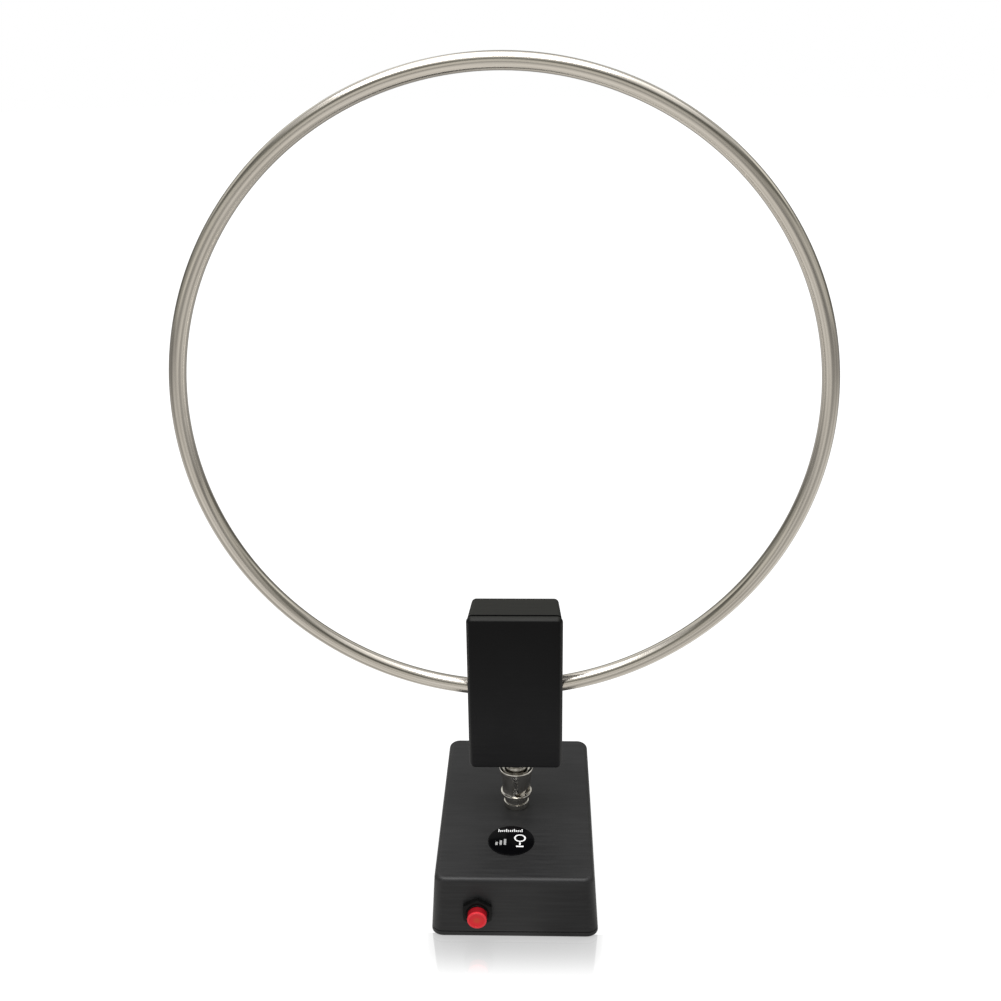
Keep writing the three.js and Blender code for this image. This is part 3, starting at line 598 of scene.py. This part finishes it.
def add(name, solid, body, slot, place=Matrix.Identity(4), replaces=None):
    """Names a solid, puts it in place in metres, smooths it and hangs it on its CAD body. A solid
    without finishes of its own takes the finish of its slot."""
    solid.name = name
    solid.data.name = name
    solid.data.transform(Matrix.Scale(MM, 4))
    solid.matrix_world = Matrix.Translation(place.translation * MM) @ place.to_3x3().to_4x4()
    if not solid.data.materials:
        solid.data.materials.append(FINISHES[slot])
    solid.data.polygons.foreach_set("use_smooth", [True] * len(solid.data.polygons))
    solid.data.set_sharp_from_angle(angle=CREASE)
    modifier = solid.modifiers.new("flat faces stay flat", "WEIGHTED_NORMAL")
    modifier.keep_sharp = True
    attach(solid, body)
    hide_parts(*(replaces or [name]))
    return solid


# ------------------------------------------------------------------ base case


def flare(inset, height):
    """How far the outside of the base's sides has moved out at a height; the inside is upright."""
    return BASE_FLARE * (1 - height / BASE_HIGH.z) * max(0, 1 - inset / BASE_WALL)


def base_size():
    """Width and depth of the base's top, before the flare."""
    low, high = span("base_cover")
    at_foot = BASE_FLARE * (1 - COVER_FILLET / BASE_HIGH.z)
    return high.x - low.x - 2 * at_foot, high.y - low.y


def base_shell():
    low, high = span("base_shell")
    width, depth = base_size()
    roof = high.z - BASE_WALL
    shell = moulded(width, depth, BASE_CORNER, [
        (BASE_WALL + 3, roof),
        (BASE_WALL, roof, 0.8),
        (BASE_WALL, low.z),
        (0, low.z, BASE_BREAK),
        (0, high.z, BASE_FILLET),
        (6, high.z),
    ], spread=flare)
    screw = middle("base_screw_4")
    posts = at_corners(screw.x, screw.y, lambda: bar(BASE_POST, BASE_POST, low.z, roof + 1, 0.8))
    join(shell, *posts)
    pilots = at_corners(screw.x, screw.y, lambda: rod(1.45, 0, 15, 24))
    jack = middle("panel_jack_shell")
    output = middle("output_jack_shell")
    switch = middle("button_cap")
    socket = middle("usb_socket")
    light = middle("charge_led")
    cut(shell, *pilots,
        moved(rod(4.95, roof - 1, high.z + 1), jack.x, jack.y),
        moved(rod(4.95, -4, 4), output.x, high.y, output.z, TO_BACK),
        moved(rod(4.6, -4, 4), switch.x, low.y, switch.z, TO_FRONT),
        moved(bar(9.6, 3.9, -4, 4, 1.85), socket.x, high.y, socket.z, TO_BACK),
        moved(rod(1.6, -4, 4, 32), light.x, high.y, light.z, TO_BACK))
    add("base_shell", shell, "base", "abs_black")


def base_cover():
    width, depth = base_size()
    lip = BASE_WALL + PARTING
    cover = moulded(width, depth, BASE_CORNER, [
        (6, 0),
        (0, 0, COVER_FILLET),
        (0, COVER_THICKNESS, BASE_BREAK),
        (lip, COVER_THICKNESS),
        (lip, COVER_THICKNESS + COVER_LIP),
        (lip + 1.5, COVER_THICKNESS + COVER_LIP),
        (lip + 1.5, COVER_THICKNESS),
        (lip + 4, COVER_THICKNESS),
    ], spread=flare)
    screw = middle("base_screw_4")
    room = BASE_POST + 2 * PARTING
    cut(cover, *at_corners(screw.x, screw.y, lambda: bar(room, room, COVER_THICKNESS - 0.02, 9, 0.8)))
    board_low, board_high = span("charger_board")
    board = (board_low + board_high) / 2
    reach = (board_high - board_low) / 2
    stakes = at_corners(reach.x - 3, reach.y - 4.5, lambda: turned([
        (0, COVER_THICKNESS - 0.5),
        (2.2, COVER_THICKNESS - 0.5),
        (2.2, board_low.z - 0.1),
        (0.9, board_low.z - 0.1),
        (0.9, board_high.z + 0.6),
        (0, board_high.z + 0.6),
    ], 24))
    join(cover, *(moved(stake, board.x, board.y) for stake in stakes))
    cut(cover, *at_corners(screw.x, screw.y, lambda: turned([
        (0, -1),
        (4.15, -1),
        (1.6, 1.9),
        (1.6, 12),
        (0, 12),
    ], 40, ease=0)))
    add("base_cover", cover, "base", "abs_black")


def cross_recess(size, depth):
    """Two tapering slots that make a screw's cross recess, sunk into a face at height 0."""
    slots = []
    for width, length in ((size * 0.26, size * 1.15), (size * 1.15, size * 0.26)):
        mouth = rounded_rectangle(width, length, min(width, length) * 0.3, -0.5, 2)
        floor = rounded_rectangle(width * 0.62, length * 0.62, min(width, length) * 0.18, depth, 2)
        slots.append(skin([mouth, floor]))
    return slots


def countersunk_screw(head, shaft, length):
    """Points up from a face at height 0."""
    cone = head - shaft
    body = turned([
        (0, 0),
        (head, 0, 0.1),
        (head, 0.25, 0.05),
        (shaft, cone + 0.25, 0.1),
        *thread(shaft + 0.05, cone + 1.2, length - 2.2, 0.9, 0.3),
        (0.2, length, 0.1),
        (0, length),
    ], 40)
    return cut(body, *cross_recess(head, 1.0))


def screws():
    for i in range(1, 5):
        low, high = span(f"base_screw_{i}")
        centre = (low + high) / 2
        add(f"base_screw_{i}", countersunk_screw(2.8, 1.25, high.z - low.z), "base", "screw_black",
            frame_at(centre.x, centre.y, low.z))
        low, high = span(f"head_screw_{i}")
        centre = (low + high) / 2
        add(f"head_screw_{i}", countersunk_screw(2.3, 1.15, high.y - low.y), "head", "screw_black",
            frame_at(centre.x, high.y, centre.z, TO_FRONT))


# ------------------------------------------------------------------ badge


def dome_height(radius):
    return BADGE_EDGE + BADGE_CROWN * (1 - (radius / BADGE_RADIUS) ** 2)


def badge():
    crown = [(BADGE_RADIUS * share, dome_height(BADGE_RADIUS * share), 0)
             for share in (0.95, 0.85, 0.7, 0.55, 0.4, 0.25, 0.1)]
    dome = turned([
        (0, 0),
        (BADGE_RADIUS, 0, 0.05),
        (BADGE_RADIUS, BADGE_EDGE, 0.3),
        *crown,
        (0, dome_height(0)),
    ], 96)
    add("badge", dome, "base", "badge_resin", BADGE)


def stroke(points, width, closed=False):
    """A printed line that follows the badge's dome."""
    path = [Vector(point) for point in points]
    rings = []
    for i, here in enumerate(path):
        before = path[i - 1] if closed or i else here
        after = path[(i + 1) % len(path)] if closed or i < len(path) - 1 else here
        along = (after - before).normalized()
        side = Vector((-along.y, along.x)) * width / 2
        left, right = here + side, here - side
        ring = []
        for edge, rise in ((left, -INK), (right, -INK), (right, INK), (left, INK)):
            ring.append((edge.x, edge.y, dome_height(edge.length) + rise))
        rings.append(ring)
    return skin(rings, closed)


def line(start, end, width, steps=4):
    first, last = Vector(start), Vector(end)
    return stroke([first.lerp(last, i / steps) for i in range(steps + 1)], width)


def circle(x, y, radius, width, steps=40):
    angles = [2 * math.pi * i / steps for i in range(steps)]
    return stroke([(x + radius * math.cos(a), y + radius * math.sin(a)) for a in angles], width, True)


def badge_print():
    """A loop on a stand, a row of dial divisions and three level bars."""
    stand_x = 3.6
    white = [
        circle(stand_x, 1.0, 2.1, 0.62),
        line((stand_x, -1.75), (stand_x, -3.5), 0.62),
        line((stand_x - 1.5, -4.3), (stand_x + 1.5, -4.3), 0.8),
    ]
    divisions = 13
    for i in range(divisions):
        x = -5.2 + i * 0.8
        length = 1.9 if i % 4 == 0 else 1.2
        white.append(line((x, 5.2), (x, 5.2 + length), 0.42))
    add("badge_print", together(white), "base", "ink_white", BADGE, ["badge"])
    grey = [line((-5.9 + i * 1.7, -3.4), (-5.9 + i * 1.7, -1.5 + i * 0.9), 0.95) for i in range(3)]
    add("badge_bars", together(grey), "base", "ink_grey", BADGE, ["badge"])


# ------------------------------------------------------------------ bayonet connector


def jack_shell():
    """A panel jack: threaded tail behind the panel, flange and bayonet barrel in front of it."""
    body = turned([
        (3, -11),
        *thread(4.75, -10.8, -2.2),
        (4.7, 0.1, 0),
        (5.3, 0.1),
        (5.3, 2.5, 0.6),
        (4.85, 2.6, 0.1),
        (4.85, 15, 0.35),
        (4.05, 15, 0.2),
        (4.05, 5.5),
        (3, 5.5),
    ], 72)
    studs = []
    for turn in (0, math.pi):
        stud = turned([(0, 4.4), (STUD_RADIUS, 4.4), (STUD_RADIUS, 5.55, 0.3), (0, 5.55)], 32)
        lean = Matrix.Rotation(turn, 4, "Z") @ Matrix.Rotation(math.pi / 2, 4, "Y")
        studs.append(moved(stud, 0, 0, STUD_HEIGHT, lean))
    return join(body, *studs)


def jack_insulator():
    return turned([(1.15, -10.7), (2.9, -10.7), (2.9, 5.5), (2.35, 5.5), (2.35, 13.6, 0.25),
                   (1.15, 13.6)], 48)


def jack_contact():
    """A gold socket whose mouth is slit into four fingers."""
    socket = turned([
        (0, -13.2),
        (0.9, -13.2, 0.2),
        (0.9, -11),
        (1.05, -11),
        (1.05, 13.4, 0.15),
        (0.62, 13.4, 0.1),
        (0.62, 7.2),
        (0, 7.2),
    ], 40)
    return cut(socket, bar(0.16, 4, 9.6, 14, 0.03), bar(4, 0.16, 9.6, 14, 0.03))


def jacks():
    for name, place in (("panel_jack", PANEL), ("output_jack", REAR_PANEL)):
        add(f"{name}_shell", jack_shell(), "base", "nickel", place)
        add(f"{name}_insulator", jack_insulator(), "base", "ptfe", place)
        add(f"{name}_contact", jack_contact(), "base", "gold", place)


def ribbon(path, half_width, inner, outer):
    """A slot tool: a round-ended strip about a path of (angle, height), from radius to radius."""
    centre_radius = (inner + outer) / 2
    centre = [Vector((angle * centre_radius, height)) for angle, height in path]
    start = (centre[0] - centre[1]).normalized() * half_width
    end = (centre[-1] - centre[-2]).normalized() * half_width
    turns = [math.radians(degrees) for degrees in (22, 45, 65, 85)]
    stations = [(centre[0] + start * math.sin(turn), math.cos(turn)) for turn in reversed(turns)]
    stations += [(point, 1) for point in centre]
    stations += [(centre[-1] + end * math.sin(turn), math.cos(turn)) for turn in turns]
    rings = []
    for i, (here, share) in enumerate(stations):
        before = stations[max(i - 1, 0)][0]
        after = stations[min(i + 1, len(stations) - 1)][0]
        along = (after - before).normalized()
        side = Vector((-along.y, along.x)) * half_width * share
        ring = []
        for point, radius in ((here + side, inner), (here - side, inner),
                              (here - side, outer), (here + side, outer)):
            angle = point.x / centre_radius
            ring.append((radius * math.cos(angle), radius * math.sin(angle), point.y))
        rings.append(ring)
    return skin(rings)


def coupling_nut():
    """The bayonet sleeve: two cam slots climb its waist, which widens towards a rounded rim."""
    body = turned([
        (4.95, 5.6),
        (6.6, 5.6, 0.85),
        (6.6, 7.4, 0.85),
        (5.9, 7.5, 0.2),
        (5.9, 11.5, 2.0),
        (6.6, 15.4, 2.0),
        (7.1, 18.0, 1.0),
        (7.1, 19.1, 0.75),
        (5.75, 19.1, 0.15),
        (5.6, 18.2, 0.1),
        (4.95, 18.2, 0.1),
        (4.95, 17.95, 0.1),
        (6.1, 17.95, 0.1),
        (6.1, 15.6, 0.1),
        (4.95, 15.6, 0.1),
    ], 160)
    steps = 16
    tools = []
    for side in (0, math.pi):
        cam = [(side - CAM_TURN * i / steps, STUD_HEIGHT - CAM_RISE * i / steps)
               for i in range(steps + 1)]
        entry = [(side - CAM_TURN, STUD_HEIGHT - CAM_RISE - drop) for drop in (0, 1.8, 3.6, 5.4)]
        tools += [ribbon(cam, CAM_HALF_WIDTH, 3.9, 6.2), ribbon(entry, CAM_HALF_WIDTH, 3.8, 5.7)]
    cut(body, *tools)
    add("coupling_nut", body, "nut", "nickel", PANEL)


def plug_body():
    body = turned([
        (2.6, 6.6),
        (3.95, 6.6, 0.2),
        (3.95, 16.3),
        (5.85, 16.3),
        (5.85, 17.3),
        (4.6, 17.3, 0.1),
        (4.6, 19.6, 0.2),
        (4.3, 19.9, 0.2),
        (4.3, 22.6, 0.3),
        (5.5, 23.0, 0.3),
        (5.5, 24.3, 0.15),
        (4.4, 24.3, 0.1),
        *thread(4.4, 24.8, 29.6, 0.8, 0.35),
        (4.2, 30, 0.1),
        (2.6, 30),
    ], 72)
    add("plug_body", body, "head", "nickel", PANEL)


# ------------------------------------------------------------------ push switch


def hex_nut(across, bore, bottom, top):
    """A nut with both faces turned to a chamfer and a vertex on local Y."""
    corner = across / math.sqrt(3)
    blank = turned([
        (bore, bottom),
        (across / 2 - 0.05, bottom),
        (corner + 0.05, bottom + 0.42),
        (corner + 0.05, top - 0.42),
        (across / 2 - 0.05, top),
        (bore, top),
    ], 96, ease=0)
    rings = []
    for height in (bottom - 1, top + 1):
        angles = [math.pi / 6 + math.pi / 3 * i for i in range(6)]
        rings.append([(corner * math.cos(a), corner * math.sin(a), height) for a in angles])
    return shape(blank, [skin(rings)], "INTERSECT")


def switch_housing():
    """A square body behind the panel and a threaded barrel through it."""
    barrel = turned([
        (0, -3.5),
        (4.5, -3.5),
        *thread(4.5, -2.0, 2.2, 0.7, 0.28),
        (4.42, 2.6, 0.12),
        (4.0, 2.6, 0.1),
        (4.0, 1.5),
        (0, 1.5),
    ], 64)
    body = join(bar(12.6, 12.6, -16, -2.1, 1.0, 0.25), barrel)
    slots = [moved(bar(0.9, 2.4, -17, -14, 0.1), side * 1.6) for side in (-1, 1)]
    return cut(body, rod(4.0, -15, 3), *slots)


def button_cap():
    """A round cap with a soft rim and a shallow hollow in its face."""
    dish = [(share * 3.0, 5.72 + 0.13 * share ** 2, 0) for share in (1.0, 0.8, 0.6, 0.4, 0.2)]
    return turned([
        (0, 3.4),
        (1.6, 3.4),
        (1.6, -1.5),
        (3.85, -1.5, 0.2),
        (3.85, 6.0, 0.75),
        (3.05, 5.96, 0.2),
        *dish,
        (0, 5.72),
    ], 72)


def push_switch():
    add("switch_housing", switch_housing(), "base", "switch_black", SWITCH)
    add("switch_nut", hex_nut(11.3, 4.6, 0.1, 2.2), "base", "switch_black", SWITCH)
    add("button_cap", button_cap(), "power_button", "button_red", SWITCH)


# ------------------------------------------------------------------ charging socket and light


def usb_socket():
    """A rounded steel mouth with a tongue inside."""
    shell = moulded(8.9, 3.2, 1.58, [
        (0.3, -6.3),
        (0.3, 0, 0.1),
        (0, 0, 0.1),
        (0, -7.3, 0.2),
        (0.6, -7.3),
    ], 0.05)
    tongue = bar(6.7, 0.7, -6.2, -0.8, 0.15, 0.08)
    steel_faces = len(shell.data.polygons)
    socket = together([shell, tongue])
    for slot in ("nickel", "tongue"):
        socket.data.materials.append(FINISHES[slot])
    for polygon in socket.data.polygons:
        polygon.material_index = 0 if polygon.index < steel_faces else 1
    add("usb_socket", socket, "base", "nickel", behind("usb_socket"))


def charge_light():
    lens = turned([
        (0, -6),
        (1.7, -6, 0.1),
        (1.7, -5.2, 0.1),
        (1.5, -5.2, 0.05),
        (1.5, -1.0, 0.5),
        (0.9, -0.2, 0.6),
        (0, 0),
    ], 40)
    add("charge_led", lens, "base", "lens", behind("charge_led"))


# ------------------------------------------------------------------ head and loop


def loop_height(x):
    """Height of the loop's centreline above the head's middle, at a distance from the centre."""
    return LOOP_CENTRE.z - math.sqrt(LOOP_RADIUS ** 2 - x ** 2) - HEAD_MIDDLE.z


def head_posts(bottom, top, radius, sides=32):
    screw = middle("head_screw_4") - HEAD_MIDDLE
    return at_corners(screw.x, screw.z, lambda: rod(radius, bottom, top, sides))


def head_shells():
    size = HEAD_HIGH - HEAD_LOW
    half = size.y / 2
    rear_low, rear_high = span("head_rear_shell")
    seam_back = -rear_low.y
    seam_front = seam_back + HEAD_PARTING
    step = (size.x - (rear_high.x - rear_low.x)) / 2
    rear = moulded(size.x, size.z, HEAD_CORNER, [
        (HEAD_WALL + 3, HEAD_WALL - half),
        (HEAD_WALL, HEAD_WALL - half, 0.5),
        (HEAD_WALL, seam_back),
        (step, seam_back, HEAD_BREAK),
        (step, -half, REAR_FILLET),
        (5, -half),
    ], spread=lambda inset, height: HEAD_TAPER * (height - seam_back) / (seam_back + half))
    board_back = -span("amplifier_board")[1].y
    board_screw = middle("board_screw").z - HEAD_MIDDLE.z
    board_post = turned([
        (0, 1 - half),
        (2.6, 1 - half),
        (2.6, board_back - 0.1),
        (0.95, board_back - 0.1),
        (0.95, board_back - 2.4),
        (0, board_back - 2.4),
    ], 30)
    join(rear, *head_posts(1 - half, -2.8, HEAD_POST), moved(board_post, 0, board_screw))
    tube_hole = rod(LOOP_TUBE / 2 + 0.35, -60, 60)
    along_tube = Matrix.Rotation(LOOP_LEAN, 4, "Z") @ Matrix.Rotation(math.pi / 2, 4, "Y")
    screw = middle("head_screw_4") - HEAD_MIDDLE
    sinks = at_corners(screw.x, screw.z, lambda: turned([
        (0, -half - 1),
        (3.65, -half - 1),
        (1.5, 1.5 - half),
        (1.5, 0),
        (0, 0),
    ], 40, ease=0))
    cut(rear, *sinks,
        moved(tube_hole, 0, loop_height(size.x / 2 - HEAD_WALL / 2), 0, along_tube),
        moved(rod(4.7, -4, 4), 0, -size.z / 2, 0, TO_BACK))
    add("head_rear_shell", rear, "head", "head", HEAD)
    lip = HEAD_WALL + PARTING + COVER_DROP
    front = moulded(size.x, size.z, HEAD_CORNER, [
        (lip + 3, half - HEAD_WALL),
        (lip + 1, half - HEAD_WALL),
        (lip + 1, seam_front - 1.8),
        (lip, seam_front - 1.8),
        (lip, seam_front),
        (0, seam_front, 0.2),
        (0.1, half - 1.9, 0.4),
        (HEAD_BEVEL, half, 0.7),
        (5, half),
    ])
    moved(front, 0, -COVER_DROP)
    join(front, *head_posts(-2.5, half - 1, HEAD_POST))
    cut(front, *head_posts(-20, 4, 1.3, 24), moved(rod(8.5, 0, seam_front), 0, -size.z / 2))
    add("head_front_cover", front, "head", "head", HEAD)


def loop_tube():
    """An open ring of tube, with a hole through each end for its clamping bolt."""
    steps, sides = 256, 32
    gap = math.asin(LOOP_GAP / LOOP_RADIUS)
    rings = []
    for radius, order in ((LOOP_TUBE / 2, 1), (LOOP_TUBE / 2 - LOOP_WALL, -1)):
        for i in list(range(steps + 1))[::order]:
            angle = -math.pi / 2 + gap + (2 * math.pi - 2 * gap) * i / steps
            ring = []
            for j in range(sides):
                around = 2 * math.pi * j / sides
                reach = LOOP_RADIUS + radius * math.cos(around)
                ring.append((reach * math.cos(angle), reach * math.sin(angle),
                             radius * math.sin(around)))
            rings.append(ring)
    tube = skin(rings, closed=True)
    drop = -math.sqrt(LOOP_RADIUS ** 2 - LOOP_BOLT ** 2)
    cut(tube, *(moved(rod(1.65, -6, 6, 24), side * LOOP_BOLT, drop) for side in (-1, 1)))
    add("loop_tube", tube, "head", "tube", LOOP)


# ------------------------------------------------------------------ carried-over CAD nodes


def refinish_frame():
    """The inner pieces keep their CAD solids and take the finish of their material slot."""
    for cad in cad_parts.values():
        for i, material in enumerate(cad.data.materials):
            cad.data.materials[i] = FINISHES[material.name.split(".")[0]]


# ------------------------------------------------------------------ studio


def emission(tree, colour, strength):
    return node(tree, "Emission", {"Color": colour, "Strength": strength}).outputs[0]


def mix_shader(tree, share, first, second):
    return node(tree, "MixShader", {0: share, 1: first, 2: second}).outputs[0]


def azimuth_bands(tree, direction):
    """Soft dark uprights round the room, so that metal has something to mirror."""
    parts = node(tree, "SeparateXYZ", {"Vector": direction}).outputs
    angle = math_node(tree, "ARCTAN2", parts["Y"], parts["X"])
    wave = math_node(tree, "SINE", math_node(tree, "MULTIPLY", angle, 7.0))
    second = math_node(tree, "SINE", math_node(tree, "MULTIPLY_ADD", angle, 3.0, 1.3))
    return remap(tree, math_node(tree, "ADD", wave, second), (-1.6, 1.6), (0.62, 1.15))


def ramp(tree, value, stops):
    """Colours between stops of (value, colour)."""
    made = node(tree, "ValToRGB", {"Fac": value})
    elements = made.color_ramp.elements
    for i, (position, colour) in enumerate(stops):
        element = elements[i] if i < 2 else elements.new(position)
        element.position = position
        element.color = rgba(*colour)
    return made.outputs["Color"]


def studio_light():
    """White to the camera, even for soft light, and a tall bright room with a dark horizon in
    mirrors."""
    world = bpy.data.worlds.new("studio")
    world.use_nodes = True
    bpy.context.scene.world = world
    tree = world.node_tree
    tree.nodes.clear()
    direction = node(tree, "TexCoord").outputs["Generated"]
    parts = node(tree, "SeparateXYZ", {"Vector": direction}).outputs
    height = math_node(tree, "ABSOLUTE", parts["Z"])
    behind_object = ramp(tree, height, [
        (0.0, (0.16, 0.158, 0.14)),
        (0.15, (0.22, 0.22, 0.20)),
        (0.28, (0.44, 0.44, 0.41)),
        (0.40, (0.90, 0.90, 0.85)),
        (0.52, (1.0, 1.0, 0.95)),
        (0.60, (0.66, 0.66, 0.65)),
        (0.69, (0.52, 0.52, 0.52)),
        (0.78, (1.25, 1.25, 1.25)),
        (1.0, (2.4, 2.4, 2.4)),
    ])
    before_object = ramp(tree, height, [
        (0.0, (0.74, 0.73, 0.69)),
        (0.26, (0.66, 0.65, 0.61)),
        (0.34, (0.20, 0.20, 0.18)),
        (0.56, (0.22, 0.22, 0.20)),
        (0.68, (0.95, 0.95, 0.93)),
        (0.78, (1.25, 1.25, 1.25)),
        (1.0, (2.4, 2.4, 2.4)),
    ])
    side = remap(tree, parts["Y"], (-0.15, 0.25), (0, 1))
    room = blend_colour(tree, side, before_object, behind_object)
    mirrored = blend_colour(tree, 1.0, room, azimuth_bands(tree, direction), "MULTIPLY")
    rays = node(tree, "LightPath").outputs
    seen = blend_colour(tree, rays["Is Glossy Ray"], rgba(0.80, 0.80, 0.80), mirrored)
    seen = blend_colour(tree, rays["Is Camera Ray"], seen, rgba(1, 1, 1))
    background = node(tree, "Background", {"Color": seen, "Strength": 1.0})
    output = node(tree, "OutputWorld")
    tree.links.new(background.outputs[0], output.inputs["Surface"])


def overhead_light():
    light = bpy.data.lights.new("softbox", "AREA")
    light.shape = "RECTANGLE"
    light.size = 1.1
    light.size_y = 0.8
    light.energy = 16
    box = bpy.data.objects.new("softbox", light)
    box.location = (-0.12, -0.25, 1.25)
    box.rotation_euler = (math.radians(-11), math.radians(-5), 0)
    bpy.context.scene.collection.objects.link(box)


def floor():
    """A pale polished floor: it mirrors the foot of the base, and a painted reflection darkens it in front
    of the base and fades outwards; it shades softly beside the base and runs out to white."""
    tree = new_material("floor")
    place = node(tree, "NewGeometry").outputs["Position"]
    parts = node(tree, "SeparateXYZ", {"Vector": place}).outputs
    distance = node(tree, "VectorMath", {0: place}, operation="LENGTH").outputs["Value"]
    rays = node(tree, "LightPath").outputs
    shade = node(tree, "AmbientOcclusion", {"Distance": 0.03}, samples=6).outputs["AO"]
    contact = remap(tree, shade, (0.2, 1.0), (0.80, 1.02))
    before = math_node(tree, "LESS_THAN", parts["Y"], -0.048)
    beside = remap(tree, math_node(tree, "ABSOLUTE", parts["X"]), (0.031, 0.040), (1, 0))
    near = math_node(tree, "MULTIPLY", before, beside)
    mirror_and_painted_reflection = math_node(tree, "MULTIPLY", remap(tree, parts["Y"], (-0.088, -0.046), (0, 1)), near)
    # painted reflection: in the band in front of the base the floor's glow drops from 1.14 to 0.64,
    # darkest next to the base; the glossy shader on the same band adds the real reflection
    ground = math_node(tree, "MULTIPLY", contact, remap(tree, mirror_and_painted_reflection, (0, 1), (1.14, 0.64)))
    open_floor = emission(tree, rgba(1, 1, 1), ground)
    tint = blend_colour(tree, mirror_and_painted_reflection, rgba(0, 0, 0), rgba(0.8, 0.8, 0.8))
    gloss = node(tree, "BsdfGlossy", {"Color": tint, "Roughness": 0.07}).outputs[0]
    seen = node(tree, "AddShader", {0: open_floor, 1: gloss}).outputs[0]
    fade = remap(tree, distance, (0.25, 1.3), (0.84, 0.42))
    behind_share = remap(tree, parts["Y"], (0.02, 0.35), (1.0, 0.75))
    bands = azimuth_bands(tree, place)
    glow = math_node(tree, "MULTIPLY", math_node(tree, "MULTIPLY", fade, behind_share), bands)
    mirrored = emission(tree, rgba(1.0, 0.985, 0.955), glow)
    other = mix_shader(tree, rays["Is Glossy Ray"], emission(tree, rgba(1, 1, 1), 0.75), mirrored)
    shader = mix_shader(tree, rays["Is Camera Ray"], other, seen)
    output = node(tree, "OutputMaterial")
    tree.links.new(shader, output.inputs["Surface"])
    ring = [(4 * math.cos(a), 4 * math.sin(a), 0) for a in [math.pi * i / 32 for i in range(64)]]
    bm = bmesh.new()
    bm.faces.new([bm.verts.new(point) for point in ring])
    made = as_object(bm)
    made.name = "floor"
    made.data.materials.append(bpy.data.materials["floor_finish"])


def camera():
    """Stands a little right of the middle, looking down at the aerial."""
    yaw, pitch, roll = -0.0348, 0.3861, 0.0132
    data = bpy.data.cameras.new("camera")
    data.sensor_width = 36.0
    data.lens = 45.545
    data.clip_start = 0.01
    made = bpy.data.objects.new("camera", data)
    turn = (Matrix.Rotation(-yaw, 4, "Z") @ Matrix.Rotation(math.pi / 2 - pitch, 4, "X")
            @ Matrix.Rotation(-roll, 4, "Z"))
    made.matrix_world = Matrix.Translation(Vector((10.63, -452.47, 351.88)) * MM) @ turn
    bpy.context.scene.collection.objects.link(made)
    bpy.context.scene.camera = made


# ------------------------------------------------------------------ the whole aerial

refinish_frame()
base_shell()
base_cover()
screws()
badge()
badge_print()
jacks()
coupling_nut()
plug_body()
push_switch()
usb_socket()
charge_light()
head_shells()
loop_tube()
studio_light()
overhead_light()
floor()
camera()
bpy.context.scene.view_settings.view_transform = "Standard"

bpy.context.view_layer.update()
